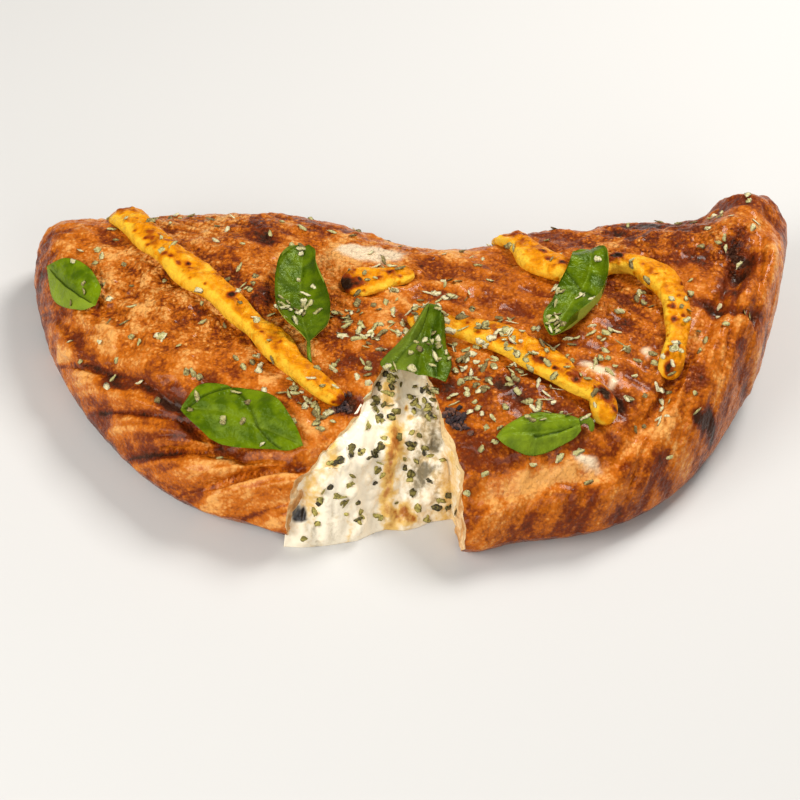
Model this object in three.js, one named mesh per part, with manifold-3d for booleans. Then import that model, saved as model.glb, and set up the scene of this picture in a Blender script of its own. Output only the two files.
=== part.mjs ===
// A baked calzone: a folded loaf of pizza dough with a rolled, pleated rim along its bowed front, a wedge cut
// out of the front that shows the cheese filling, baked strands of cheese and basil leaves on the top crust,
// and dried herb flakes baked on. Millimetres, +Z up, +X along the loaf, -Y towards the bowed front.
// The origin is under the middle of the loaf's box, on the surface that it rests on.

import * as THREE from 'three';
import Module from 'manifold-3d';
import { mergeVertices } from 'three/addons/utils/BufferGeometryUtils.js';

const wasm = await Module();
wasm.setup();

// ---- Driving dimensions, millimetres ----

const HALF_LENGTH = 157;
const MIDDLE_X = -3.5;
const FRONT_Y = -90;
const BACK_Y = 77;
const CROWN_HEIGHT = 46;
const SEAM_DEPTH = 3.6;
const PLEAT_RELIEF = 2.4;
const PLEAT_PUSH = 2.8;
const SHEET = 5.5;
const BASE_SHEET = 4;
const GAP = 0.3;

// How each half of the front sweeps back to its tip: y rises by this much, by a power of the distance. The
// pleats of its rim lie this far apart, lean this far towards the tip for each step in from the front, and
// stand out by this share.
const LEFT_HALF = { rise: 112, power: 3.3, tipY: 36, squareness: 30, pleats: 33, lean: 2.7, depth: 1 };
const RIGHT_HALF = { rise: 136, power: 3.8, tipY: 66, squareness: 26, pleats: 25, lean: 0.7, depth: 0.45 };

// How far in from the bowed front the rolled rim ends: x and distance.
const SEAM = [
  [-157, 6], [-134, 7], [-115, 10.5], [-97, 16], [-88, 19], [-79, 17], [-62, 14], [-35, 14.5], [20, 10],
  [35, 8], [52, 11.5], [76, 10.5], [85, 16], [95, 21], [108, 24], [129, 23], [148, 11], [157, 8],
];

// The cross-section: how square its plan ends, its top and its underside are, and where it is widest.
const TOP_SQUARENESS = 3;
const UNDERSIDE_SQUARENESS = 6;
const WIDEST_Z = 9;

// Where the front bulges out and where the back is pushed in or out: the middle, half width and size of each.
const FRONT_BULGES = [[-38, 15, -5], [25, 13, -6], [-80, 34, -4]];
const BACK_BULGES = [[6, 35, -20], [128, 34, 7], [-152, 28, -10]];
const BACK_SLOPE = 0.045;

// Raised places of the top crust and, below zero, sunken ones: x, y, both half widths and the height.
const PLACES = [
  [-74, -20, 16, 11, -3],
  [126, 27, 11, 10, -9],
  [117, 66, 6, 14, -3.5],
  [120, 50, 20, 9, 3],
  [40, -45, 24, 14, 2],
];

// The middle of the finished loaf's box, in the frame that the numbers of this file are in.
const BOX_MIDDLE = { x: -3.5, y: -3.1 };

// The grid of the loaf's skin, along and across.
const LOAF_COLUMNS = 84;
const LOAF_ROWS = 26;
const UNDERSIDE_ROWS = 6;

const smooth = (from, to, x) => THREE.MathUtils.smoothstep(x, from, to);
const bell = (x, centre, width) => Math.exp(-(((x - centre) / width) ** 2));

// The value at x of a line through stops, each an x and a value, in the order of x.
function lineThrough(stops, x) {
  const next = THREE.MathUtils.clamp(stops.findIndex((stop) => stop[0] >= x), 1, stops.length - 1);
  const [[x0, value0], [x1, value1]] = [stops[next - 1], stops[next]];
  const inside = THREE.MathUtils.clamp(x, stops[0][0], stops.at(-1)[0]);
  return THREE.MathUtils.mapLinear(inside, x0, x1, value0, value1);
}

// ---- Solids from sheets ----

function geometryOf(solid) {
  const { vertProperties, triVerts } = solid.getMesh();
  const geometry = new THREE.BufferGeometry();
  geometry.setAttribute('position', new THREE.BufferAttribute(vertProperties, 3));
  geometry.setIndex(new THREE.BufferAttribute(triVerts, 1));
  return geometry;
}

// A closed solid from a closed geometry: shared vertices are merged and faces of no area dropped.
function solidOf(geometry) {
  const bare = geometry.clone();
  for (const name of ['normal', 'uv']) bare.deleteAttribute(name);
  const merged = mergeVertices(bare, 1e-3);
  const index = merged.index.array;
  const faces = [];
  for (let i = 0; i < index.length; i += 3) {
    const [a, b, c] = [index[i], index[i + 1], index[i + 2]];
    if (a !== b && b !== c && c !== a) faces.push(a, b, c);
  }
  return new wasm.Manifold(new wasm.Mesh({
    numProp: 3,
    vertProperties: merged.attributes.position.array,
    triVerts: new Uint32Array(faces),
  }));
}

// The solid between an upper and a lower sheet, each a function of (u, v) from 0 to 1 with u towards +X and
// v towards +Y. Both sheets are split into triangles alike, and walls close the edges that don't meet. The
// lower sheet may have fewer rows where the two meet in a point at both ends.
function solidBetween(upper, lower, columns, rows, lowerRows = rows) {
  const positions = [];
  for (const [sheet, sheetRows] of [[upper, rows], [lower, lowerRows]])
    for (let i = 0; i <= columns; i++)
      for (let j = 0; j <= sheetRows; j++) positions.push(...sheet(i / columns, j / sheetRows));
  const index = [];
  const top = (i, j) => i * (rows + 1) + j;
  const bottom = (i, j) => (columns + 1) * (rows + 1) + i * (lowerRows + 1) + j;
  const face = (a, b, c, d) => index.push(a, b, c, a, c, d);
  for (let i = 0; i < columns; i++) {
    for (let j = 0; j < rows; j++) face(top(i, j), top(i + 1, j), top(i + 1, j + 1), top(i, j + 1));
    for (let j = 0; j < lowerRows; j++)
      face(bottom(i, j), bottom(i, j + 1), bottom(i + 1, j + 1), bottom(i + 1, j));
    face(bottom(i, 0), bottom(i + 1, 0), top(i + 1, 0), top(i, 0));
    face(bottom(i + 1, lowerRows), bottom(i, lowerRows), top(i, rows), top(i + 1, rows));
  }
  for (let j = 0; j < rows && rows === lowerRows; j++) {
    face(bottom(0, j + 1), bottom(0, j), top(0, j), top(0, j + 1));
    face(bottom(columns, j), bottom(columns, j + 1), top(columns, j + 1), top(columns, j));
  }
  const geometry = new THREE.BufferGeometry();
  geometry.setAttribute('position', new THREE.Float32BufferAttribute(positions, 3));
  geometry.setIndex(index);
  return solidOf(geometry);
}

// ---- The loaf's form ----

const halfAt = (x) => (x < MIDDLE_X ? LEFT_HALF : RIGHT_HALF);
const reach = (x) => Math.min(Math.abs(x - MIDDLE_X) / HALF_LENGTH, 1);

function bulgesAt(x, bulges) {
  return bulges.reduce((sum, [middle, width, size]) => sum + size * bell(x, middle, width), 0);
}

// The bowed front. Both halves stand forward a little where they have spread at the cut, and the left bulges.
const frontCurve = (x) => FRONT_Y + halfAt(x).rise * reach(x) ** halfAt(x).power + bulgesAt(x, FRONT_BULGES);

// The fold at the back: nearly straight, pushed in at its middle, with the right tip bent back.
const backCurve = (x) => BACK_Y + BACK_SLOPE * x + bulgesAt(x, BACK_BULGES);

// Falls from 1 to 0 at a tip, so that every cross-section shrinks to a point there and the tip is round.
const roundEnd = (x) => Math.sqrt(1 - reach(x) ** halfAt(x).squareness);

// Front and back edge of the loaf at x.
function edgesAt(x) {
  const tipY = halfAt(x).tipY;
  return [frontCurve, backCurve].map((curve) => tipY + (curve(x) - tipY) * roundEnd(x));
}

const crownAt = (x) => CROWN_HEIGHT + (x < 0 ? -12 * reach(x) ** 2 : 13 * bell(x, 140, 32));

// The right tip is bent up off the surface that the loaf rests on.
const liftAt = (x) => 20 * smooth(112, HALF_LENGTH + 6, x);

// How far a step of 1 square to the bowed front reaches along Y.
const slant = (x) => Math.hypot(1, (frontCurve(x + 1) - frontCurve(x - 1)) / 2);

// Distance in from the bowed front, measured square to it.
const rimDistance = (x, y) => (y - frontCurve(x)) / slant(x);

// The same, carried on down the steep face of the rolled rim, where it falls below zero.
const roundRim = (x, y, z) => rimDistance(x, y) + (z - CROWN_HEIGHT) / 3;

// The pleats of the rolled rim: rounded lobes that lean towards the tips on the left and stand steeper on the
// right, with a sharp valley between two of them.
function pleat(x, inward) {
  const { pleats, lean, depth } = halfAt(x);
  const turn = (x * (1 + 0.5 * reach(x) ** 2) - lean * inward) / pleats;
  const valley = 1 - 2 * Math.abs(Math.sin(Math.PI * turn)) ** 0.6 * (0.8 + 0.2 * Math.sin(turn * 2.1));
  return valley * depth;
}

function placesAt(x, y) {
  return PLACES.reduce((sum, [middleX, middleY, widthX, widthY, height]) =>
    sum + height * bell(x, middleX, widthX) * bell(y, middleY, widthY), 0);
}

// Relief of the top crust: the rim's seam, its pleats, low swells, the sunken and raised places of the panel,
// and the fold across the right tip.
function relief(x, y, z) {
  const inward = rimDistance(x, y);
  const end = lineThrough(SEAM, x);
  const seam = -SEAM_DEPTH * bell(inward, end, 4.5) * smooth(6, 30, Math.abs(x + 8));
  const pleats = -PLEAT_RELIEF * pleat(x, roundRim(x, y, z)) * (1 - smooth(end - 5, end + 2, inward));
  const swells = 1.3 * Math.sin(x / 15 + y / 31 + 0.6) * Math.sin(y / 17 - x / 60)
    + 0.8 * Math.sin(x / 8.3 - y / 12.5) * Math.sin(y / 9.1 + x / 29);
  return seam + pleats + swells + placesAt(x, y);
}

// Height of the top crust over a point of the plan.
function crustHeight(x, y) {
  const [front, back] = edgesAt(x);
  const across = THREE.MathUtils.clamp((2 * y - front - back) / Math.max(back - front, 1e-6), -1, 1);
  const dome = Math.sqrt(1 - Math.abs(across) ** TOP_SQUARENESS);
  const widest = WIDEST_Z + liftAt(x);
  const rise = (crownAt(x) - widest) * dome;
  return widest + (rise + relief(x, y, widest + rise) * smooth(0, 0.45, dome)) * roundEnd(x);
}

// Columns crowd towards the tips and rows towards the edges, so that round ends stay round.
const columnX = (u) => MIDDLE_X - HALF_LENGTH * (0.7 * Math.cos(Math.PI * u) + 0.3 * (1 - 2 * u));
const rowAcross = (v) => -Math.cos(Math.PI * v);

function planPoint(u, v) {
  const x = columnX(u);
  const [front, back] = edgesAt(x);
  return [x, (front + back + (back - front) * rowAcross(v)) / 2];
}

// The pleats also push the steep face of the rim in and out, v across the loaf.
const rimPush = (x, y, z, v) =>
  PLEAT_PUSH * pleat(x, roundRim(x, y, z)) * (1 - smooth(0.05, 0.3, v)) * smooth(0, 0.04, v) * roundEnd(x);

function loafTop(u, v) {
  const [x, y] = planPoint(u, v);
  const z = crustHeight(x, y);
  return [x, y + rimPush(x, y, z, v), z];
}

function loafUnderside(u, v) {
  const [x, y] = planPoint(u, v);
  const dip = Math.sqrt(1 - Math.abs(rowAcross(v)) ** UNDERSIDE_SQUARENESS) * roundEnd(x);
  return [x, y, liftAt(x) + WIDEST_Z * Math.max(1 - 1.2 * dip, 0)];
}

const loaf = solidBetween(loafTop, loafUnderside, LOAF_COLUMNS, LOAF_ROWS, UNDERSIDE_ROWS);

// ---- Where the wedge is cut, and the hollow that holds the filling ----

// The two cuts, each from the middle of the loaf out past the bowed front.
const LEFT_CUT = [[-8, -33], [-15, -46], [-20, -58], [-29, -72.5], [-36.5, -80], [-43, -90], [-50, -112]];
const RIGHT_CUT = [[3, -33], [6, -42], [12.5, -64], [16, -69], [20, -78], [20.5, -85], [27, -112]];
const WEDGE_BACK_Y = LEFT_CUT[0][1];
const WEDGE_TOP = 70;

// x of a cut at a given y.
const cutAt = (cut, y) => lineThrough(cut.map(([cutX, cutY]) => [-cutY, cutX]), -y);

const inWedge = (x, y, margin) => y < WEDGE_BACK_Y + margin && y > LEFT_CUT.at(-1)[1]
  && x > cutAt(LEFT_CUT, y) - margin && x < cutAt(RIGHT_CUT, y) + margin;

// The whole space between the cuts, which a margin shrinks on every side.
function wedgeSpace(margin) {
  const back = WEDGE_BACK_Y - margin;
  const sideOf = (cut, shift) => cut.map(([x, y]) => new THREE.Vector2(x + shift, Math.min(y, back)));
  const right = sideOf(RIGHT_CUT, -1.5 * margin).reverse();
  const left = sideOf(LEFT_CUT, 1.5 * margin);
  const outline = new THREE.Shape([...right, ...left]);
  const prism = new THREE.ExtrudeGeometry(outline, { depth: WEDGE_TOP + 10, bevelEnabled: false });
  return solidOf(prism.translate(0, 0, -10));
}

const HOLLOW = { left: -134, right: 104, frontWall: 18, backWall: 10 };

// The hollow between the sheets of dough. A margin shrinks it on every side.
function hollow(margin) {
  const place = (u, v) => {
    const x = HOLLOW.left + margin + (HOLLOW.right - HOLLOW.left - 2 * margin) * u;
    const front = frontCurve(x) + HOLLOW.frontWall * slant(x) + margin;
    const back = backCurve(x) - HOLLOW.backWall - margin;
    return [x, front + (back - front) * v];
  };
  const top = (u, v) => {
    const [x, y] = place(u, v);
    return [x, y, crustHeight(x, y) - SHEET - margin];
  };
  const bottom = (u, v) => [...place(u, v), BASE_SHEET + margin];
  return solidBetween(top, bottom, 18, 6);
}

// ---- The filling ----

const FILLING_CREST = 41;
const FILLING_EDGE = 2.5;

// Where the melted filling that has run out of the cut ends in front, further forward on the left: x and y.
const FLOW = [
  [-60, -93], [-38, -92.5], [-28, -90.5], [-17, -87], [-11, -82.5], [-7, -80.5], [0, -80.5], [5, -78.5],
  [10, -75], [19, -72.5], [30, -70],
];
const flowFront = (x) => lineThrough(FLOW, x);

// The height of the filling: it falls steeply to the flow in front, with lumps on its slope, and stays just
// under the edge of the crust.
function fillingHeight(x, y) {
  const front = flowFront(x);
  const back = THREE.MathUtils.clamp((y - front) / (WEDGE_BACK_Y - front), 0, 1);
  const slope = 1 - (1 - back) ** (2.3 + 4.5 * smooth(5, 28, -x) + 3 * smooth(0, 14, x));
  const lumps = 1.5 * Math.sin(x / 4.3 + 1) * Math.sin(y / 5.2 + x / 15) + 2.4 * bell(x, -8, 3.5)
    - smooth(6, 18, x) + 1.2 * bell(x, -24, 8) * bell(y, -80, 8);
  const rise = (FILLING_CREST - FILLING_EDGE) * slope + lumps * 4 * slope * (1 - 0.75 * slope);
  const edge = Math.min(x - cutAt(LEFT_CUT, y), cutAt(RIGHT_CUT, y) - x);
  const brim = crustHeight(x, y) - 1.2 + 2 * smooth(0, 9, edge);
  return Math.max(Math.min(FILLING_EDGE + rise, brim), FILLING_EDGE);
}

// The space under the filling's slope between the cuts, or above it, both running a little past the cuts.
function slopeSpace(above) {
  const place = (u, v) => {
    let [x, y] = [0, 0];
    for (let pass = 0; pass < 4; pass++) {
      y = flowFront(x) + (WEDGE_BACK_Y + 1 - flowFront(x)) * v;
      const [left, right] = [cutAt(LEFT_CUT, y) - 1, cutAt(RIGHT_CUT, y) + 1];
      x = left + (right - left) * u;
    }
    return [x, y];
  };
  const surface = (u, v) => {
    const [x, y] = place(u, v);
    return [x, y, fillingHeight(x, y)];
  };
  const level = (z) => (u, v) => [...place(u, v), z];
  const [upper, lower] = above ? [level(WEDGE_TOP), surface] : [surface, level(0)];
  return solidBetween(upper, lower, 11, 11);
}

const openSpace = slopeSpace(true).intersect(wedgeSpace(0));
const filling = hollow(GAP).subtract(openSpace).add(slopeSpace(false).intersect(wedgeSpace(GAP)));
const shell = loaf.subtract(hollow(0)).subtract(wedgeSpace(0));

// ---- Strands of baked cheese on the crust ----

// Each strand's route over the crust, its widths along it, evenly spaced, and its thickness.
const STRANDS = {
  cheese_strand_1: {
    route: [
      [-128, 57], [-110, 30], [-92, 9], [-74, -8], [-60, -23], [-48, -38], [-35.5, -50.5], [-26.5, -57],
    ],
    widths: [12, 14, 12.5, 11, 9.5],
    thickness: 7,
  },
  cheese_strand_2: {
    route: [[-31, 5], [-24, 8], [-16, 10.5], [-3, 16]],
    widths: [11, 11, 9],
    thickness: 5,
  },
  cheese_strand_3: {
    route: [
      [-4.5, -10.5], [8.5, -13], [24, -17], [35.5, -21], [48.5, -30], [60.5, -41], [69.5, -44.5], [72, -49],
      [71.5, -56],
    ],
    widths: [9, 11, 12, 11, 10],
    thickness: 6,
  },
  cheese_strand_4: {
    route: [
      [31.5, 60], [39.5, 45], [49, 28], [61, 22], [75, 29], [87, 27.5], [95.5, 18.5], [100.5, 4], [100, -15],
      [96.5, -32],
    ],
    widths: [11, 12.5, 11, 12, 12, 10.5],
    thickness: 6.5,
  },
};
const STRAND_STEP = 6;
const STRAND_ROWS = 4;
const STRAND_REACH = 8.5;
const LEAF_SPAN = 2.5;

function routeOf(strand) {
  return new THREE.CatmullRomCurve3(strand.route.map(([x, y]) => new THREE.Vector3(x, y, 0)));
}

function strandSolid(strand, bed) {
  const route = routeOf(strand);
  const length = route.getLength();
  const widths = strand.widths.map((width, n) => [n / (strand.widths.length - 1), width]);
  const skin = (side) => (u, v) => {
    const { x, y } = route.getPointAt(u);
    const { x: alongX, y: alongY } = route.getTangentAt(u);
    const halfWidth = lineThrough(widths, u) / 2;
    const round = Math.sqrt(1 - Math.abs(2 * u - 1) ** (length / halfWidth));
    const across = -Math.cos(Math.PI * v) * halfWidth * round * (1 + 0.07 * Math.sin(u * length / 5));
    const rise = side * Math.sin(Math.PI * v) * round * strand.thickness / 2;
    const z = crustHeight(x, y) + strand.thickness * 0.22 + rise * (1 + 0.1 * Math.sin(u * length / 3.4));
    return [x - alongY * across, y + alongX * across, z];
  };
  const columns = Math.ceil(length / STRAND_STEP) + 4;
  return solidBetween(skin(1), skin(-1), columns, STRAND_ROWS).subtract(bed);
}

// The strands' routes as points, for keeping leaves above them and herb flakes clear of them.
const routePoints = Object.values(STRANDS).flatMap((strand) => {
  const route = routeOf(strand);
  return route.getSpacedPoints(Math.ceil(route.getLength() / 2)).map((point) => ({ point, strand }));
});

function strandDistance(x, y) {
  return Math.min(...routePoints.map(({ point }) => Math.hypot(x - point.x, y - point.y)));
}

// The crust as a leaf spans it: the mean height of the places round a point.
function spannedHeight(x, y) {
  const steps = [-LEAF_SPAN, 0, LEAF_SPAN];
  const heights = steps.flatMap((dx) => steps.map((dy) => crustHeight(x + dx, y + dy)));
  return heights.reduce((sum, height) => sum + height, 0) / heights.length;
}

// What a leaf lies on: the crust, raised in a soft hump over each strand.
function bedHeight(x, y) {
  const humps = routePoints.map(({ point, strand }) =>
    (strand.thickness + 0.5) * bell(Math.hypot(x - point.x, y - point.y), 0, 9));
  return spannedHeight(x, y) + Math.max(...humps);
}

// ---- Basil leaves ----

// Each leaf: its midrib from stem to point, its half widths to the left and right of it at the stations, how
// far its edges curl up (down, where below zero), how far its point lifts, how far either side rises to its
// edge and how far the outer part of either side stands up.
const STATIONS = [0, 0.08, 0.2, 0.35, 0.5, 0.65, 0.8, 0.92, 1];
const LEAVES = {
  basil_leaf_1: {
    midrib: [[-127, -7.5], [-138.5, 3], [-151, 18.5]],
    left: [0, 3.5, 4.9, 5.6, 5.5, 4.7, 3, 1.3, 0],
    right: [0, 5.5, 7.7, 8.7, 8.7, 8, 5.1, 1.6, 0],
    curl: 0, lift: 2, sides: [-1, 2], standing: [0, 0],
  },
  basil_leaf_2: {
    midrib: [[-41, -35.5], [-41.6, -30], [-44.6, -18], [-47, -1], [-48, 25.5]],
    left: [0.6, 0.8, 7.6, 9.8, 10, 9.6, 8.6, 5.2, 1.5],
    right: [0.6, 0.8, 8.8, 10.6, 9.9, 7.8, 5.6, 4.8, 2.2],
    curl: 2.5, lift: 3.5, sides: [0, 0], standing: [2, 1.5],
  },
  basil_leaf_3: {
    midrib: [[-87, -58], [-66.5, -64], [-50.5, -70.5], [-39.5, -76]],
    left: [0.7, 8.3, 11.3, 12.4, 13, 11.2, 7, 3.1, 0],
    right: [0.9, 4.6, 7.6, 9.8, 10, 8.3, 6, 4.1, 0],
    curl: 0, lift: 1.5, sides: [0, 2.5], standing: [0, 0],
  },
  basil_leaf_4: {
    midrib: [[4, -9], [2.5, -24], [1, -45]],
    left: [0.3, 4.4, 6.6, 8.1, 9, 11, 12, 11.7, 11],
    right: [0.3, 1.5, 3, 5, 7.3, 10, 13.4, 14.8, 12.8],
    curl: -2, lift: 0, sides: [0, 1.5], standing: [0, 0],
  },
  basil_leaf_5: {
    midrib: [[67, 32], [66, 17], [59, 0], [51, -20]],
    left: [3, 5.5, 7, 8.6, 9.8, 9.3, 7.5, 4.4, 0.9],
    right: [4, 7, 8, 8, 8, 6.9, 7.4, 4.5, 0.6],
    curl: 1.5, lift: 1, sides: [0, 0], standing: [7.5, 1],
  },
  basil_leaf_6: {
    midrib: [[62.5, -60], [50, -64.5], [31.5, -68.5]],
    left: [2, 3.4, 4.4, 5.2, 5.7, 5.9, 5, 3, 0],
    right: [3, 5.8, 7.4, 8.2, 8, 7.4, 5.6, 2.9, 0],
    curl: -2.2, lift: 0.5, sides: [0, 0], standing: [0, 0],
  },
};
const LEAF_THICKNESS = 0.9;
const LEAF_CLEARANCE = 1.9;
const MIDRIB_STEPS = 24;

// A leaf's plan: places by how far along the midrib (0 to 1) and across it (-1 to 1, left above zero), and
// whether the leaf covers a place.
function leafPlan(leaf) {
  const route = new THREE.CatmullRomCurve3(leaf.midrib.map(([x, y]) => new THREE.Vector3(x, y, 0)));
  const atStations = (widths) => widths.map((width, n) => [STATIONS[n], width]);
  const [left, right] = [leaf.left, leaf.right].map(atStations);
  const halfWidth = (along, across) => lineThrough(across > 0 ? left : right, along);
  const toPlan = (along, across) => {
    const [middle, ahead] = [route.getPointAt(along), route.getTangentAt(along)];
    const side = across * halfWidth(along, across);
    return [middle.x - ahead.y * side, middle.y + ahead.x * side];
  };
  const midrib = route.getSpacedPoints(MIDRIB_STEPS);
  const covers = (x, y, margin) => midrib.some((point, n) => {
    const along = n / MIDRIB_STEPS;
    const ahead = route.getTangentAt(along);
    const across = ahead.x * (y - point.y) - ahead.y * (x - point.x);
    return Math.hypot(x - point.x, y - point.y) < halfWidth(along, across) + margin;
  });
  return { toPlan, covers, halfWidth };
}

function leafSolid(leaf) {
  const { toPlan, halfWidth } = leafPlan(leaf);
  const surface = (below) => (u, v) => {
    const along = (1 - Math.cos(Math.PI * u)) / 2;
    const across = 2 * v - 1;
    const [x, y] = toPlan(along, across);
    const side = across > 0 ? 0 : 1;
    const bend = leaf.curl * (leaf.curl < 0 ? across ** 2 - 1 : across ** 2);
    const wave = 0.5 * Math.sin(9 * along) * across;
    const stands = smooth(0.6, 1, Math.abs(across)) * smooth(0.02, 0.4, along) * (1 - smooth(0.85, 1, along));
    const lift = bend + wave + leaf.sides[side] * Math.abs(across) + leaf.standing[side] * stands;
    const fullness = Math.min(halfWidth(along, across) / 5, 1);
    const z = bedHeight(x, y) + LEAF_CLEARANCE + Math.max(lift * fullness + leaf.lift * along ** 3, 0);
    const taper = Math.sin(Math.PI * u) * (1 - across ** 4);
    return [x, y, z - below * LEAF_THICKNESS * taper];
  };
  return solidBetween(surface(0), surface(1), 11, 6);
}

const leafPlans = Object.values(LEAVES).map(leafPlan);

// ---- Dried herb flakes, baked onto the crust and the filling ----

const CRUST_FLAKES = 60;
const FILLING_FLAKES = 20;
const FLAKE_CLEARANCE = 2.2;
const MOST_TRIES = 2000;

// A repeatable source of random numbers from 0 to 1.
function seeded(seed) {
  let state = seed;
  return () => {
    state = (state + 0x6d2b79f5) | 0;
    let mixed = Math.imul(state ^ (state >>> 15), 1 | state);
    mixed = (mixed + Math.imul(mixed ^ (mixed >>> 7), 61 | mixed)) ^ mixed;
    return ((mixed ^ (mixed >>> 14)) >>> 0) / 4294967296;
  };
}

// One flake, a flattened grain half sunk in the surface at a place where a line straight down meets it.
function flake({ point, face }, random) {
  const grain = new THREE.IcosahedronGeometry(1, 0);
  grain.scale(1.3 + 0.9 * random(), 0.75 + 0.35 * random(), 0.55);
  grain.rotateZ(Math.PI * random());
  const upright = new THREE.Quaternion().setFromUnitVectors(new THREE.Vector3(0, 0, 1), face.normal);
  grain.applyQuaternion(upright);
  return solidOf(grain.translate(point.x, point.y, point.z));
}

// Fuses flakes to a solid at the places that a draw gives, skipping those that aren't allowed.
function withFlakes(solid, count, random, draw, allowed) {
  const target = new THREE.Mesh(geometryOf(solid));
  const down = new THREE.Vector3(0, 0, -1);
  const placed = [];
  let result = solid;
  for (let tries = 0; tries < MOST_TRIES && placed.length < count; tries++) {
    const [x, y] = draw();
    const crowded = placed.some((other) => Math.hypot(x - other.x, y - other.y) < 5);
    if (crowded || !allowed(x, y)) continue;
    const [hit] = new THREE.Raycaster(new THREE.Vector3(x, y, 100), down).intersectObject(target);
    if (!hit || hit.face.normal.z < 0.5) continue;
    placed.push(hit.point);
    result = result.add(flake(hit, random));
  }
  return result;
}

// Two herb flakes in three lie round the middle of the loaf, the rest anywhere on its top.
function herbedCrust() {
  const random = seeded(11);
  const draw = () => {
    const bunched = random() < 0.67;
    const [a, b] = [random() + random() - 1, random() + random() - 1];
    return bunched ? [14 + 75 * a, -16 + 42 * b] : [150 * a, 75 * b];
  };
  const allowed = (x, y) => {
    const [front, back] = edgesAt(x);
    return y > front + 14 && y < back - 10 && !inWedge(x, y, FLAKE_CLEARANCE + 1)
      && strandDistance(x, y) > STRAND_REACH + FLAKE_CLEARANCE
      && !leafPlans.some((plan) => plan.covers(x, y, 1 + FLAKE_CLEARANCE));
  };
  return withFlakes(shell, CRUST_FLAKES, random, draw, allowed);
}

function herbedFilling() {
  const random = seeded(5);
  const draw = () => {
    const y = -88 + 42 * random();
    const [left, right] = [cutAt(LEFT_CUT, y), cutAt(RIGHT_CUT, y)];
    return [left + (right - left) * random(), y];
  };
  const allowed = (x, y) => y > flowFront(x) + 4 && inWedge(x, y, -FLAKE_CLEARANCE - 1)
    && !leafPlans.some((plan) => plan.covers(x, y, 1 + FLAKE_CLEARANCE));
  return withFlakes(filling, FILLING_FLAKES, random, draw, allowed);
}

// ---- The finished calzone ----

const MATERIALS = {
  crust: new THREE.MeshStandardMaterial({ color: 0xb8702f, roughness: 0.7, metalness: 0 }),
  filling: new THREE.MeshStandardMaterial({ color: 0xe9dcb8, roughness: 0.4, metalness: 0 }),
  strand: new THREE.MeshStandardMaterial({ color: 0xe8981f, roughness: 0.5, metalness: 0 }),
  basil: new THREE.MeshStandardMaterial({ color: 0x3f7d1c, roughness: 0.45, metalness: 0 }),
};

const calzone = new THREE.Group();
calzone.name = 'calzone';
calzone.position.set(-BOX_MIDDLE.x, -BOX_MIDDLE.y, 0);

function piece(name, solid, material) {
  const mesh = new THREE.Mesh(geometryOf(solid), material);
  mesh.name = name;
  calzone.add(mesh);
}

piece('crust', herbedCrust(), MATERIALS.crust);
piece('filling', herbedFilling(), MATERIALS.filling);

const raisedLoaf = solidOf(geometryOf(loaf).translate(0, 0, GAP));
for (const [name, strand] of Object.entries(STRANDS))
  piece(name, strandSolid(strand, raisedLoaf), MATERIALS.strand);
for (const [name, leaf] of Object.entries(LEAVES)) piece(name, leafSolid(leaf), MATERIALS.basil);

export default calzone;
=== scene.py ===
"""A baked calzone, cut open at its bowed front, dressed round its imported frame.

Shapes are worked out with numpy in millimetres, in the loaf's own frame: +X along the loaf, -Y towards the
bowed front, +Z up. place() turns them into the frame's metres.
"""

import math

import bpy
import numpy as np
from mathutils import Matrix, Vector
from mathutils.bvhtree import BVHTree


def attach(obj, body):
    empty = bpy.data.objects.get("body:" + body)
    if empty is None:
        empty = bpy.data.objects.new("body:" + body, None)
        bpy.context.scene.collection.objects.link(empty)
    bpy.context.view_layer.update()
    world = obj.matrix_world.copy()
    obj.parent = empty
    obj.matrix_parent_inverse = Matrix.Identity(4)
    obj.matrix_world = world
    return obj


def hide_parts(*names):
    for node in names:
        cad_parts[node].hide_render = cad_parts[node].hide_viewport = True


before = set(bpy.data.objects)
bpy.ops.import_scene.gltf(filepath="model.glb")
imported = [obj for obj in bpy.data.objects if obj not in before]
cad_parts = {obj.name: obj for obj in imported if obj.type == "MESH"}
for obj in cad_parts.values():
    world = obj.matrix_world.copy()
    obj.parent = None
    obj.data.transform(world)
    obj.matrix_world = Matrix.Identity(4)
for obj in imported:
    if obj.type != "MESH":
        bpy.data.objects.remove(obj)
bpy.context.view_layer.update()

# ---- Driving dimensions of the loaf, millimetres, as in the part's source ----

LOAF_TO_PART = np.array((3.5, 3.1, 0.0))
METRES = 0.001

HALF_LENGTH = 157.0
MIDDLE_X = -3.5
FRONT_Y, BACK_Y = -90.0, 77.0
CROWN_HEIGHT = 46.0
WIDEST_Z = 9.0
SEAM_DEPTH, PLEAT_RELIEF, PLEAT_PUSH = 3.6, 2.4, 2.8
TOP_SQUARENESS, UNDERSIDE_SQUARENESS = 3, 6
SHEET, BASE_SHEET, GAP = 5.5, 4.0, 0.3

LEFT_HALF = {
    "rise": 112, "power": 3.3, "tip_y": 36, "squareness": 30, "pleats": 33, "lean": 2.7, "depth": 1,
}
RIGHT_HALF = {
    "rise": 136, "power": 3.8, "tip_y": 66, "squareness": 26, "pleats": 25, "lean": 0.7, "depth": 0.45,
}

# Bulges of the bowed front: x, half width and how far out. Those of the fold at the back likewise.
FRONT_BULGES = [(-38, 15, 5), (25, 13, 6), (-80, 34, 4)]
BACK_BULGES = [(6, 35, -20), (128, 34, 7), (-152, 28, -10)]
BACK_SLANT = 0.045

# How far in from the bowed front the rolled rim ends: x and distance.
SEAM = np.array([
    (-157, 6), (-134, 7), (-115, 10.5), (-97, 16), (-88, 19), (-79, 17), (-62, 14), (-35, 14.5), (20, 10),
    (35, 8), (52, 11.5), (76, 10.5), (85, 16), (95, 21), (108, 24), (129, 23), (148, 11), (157, 8),
])

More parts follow.
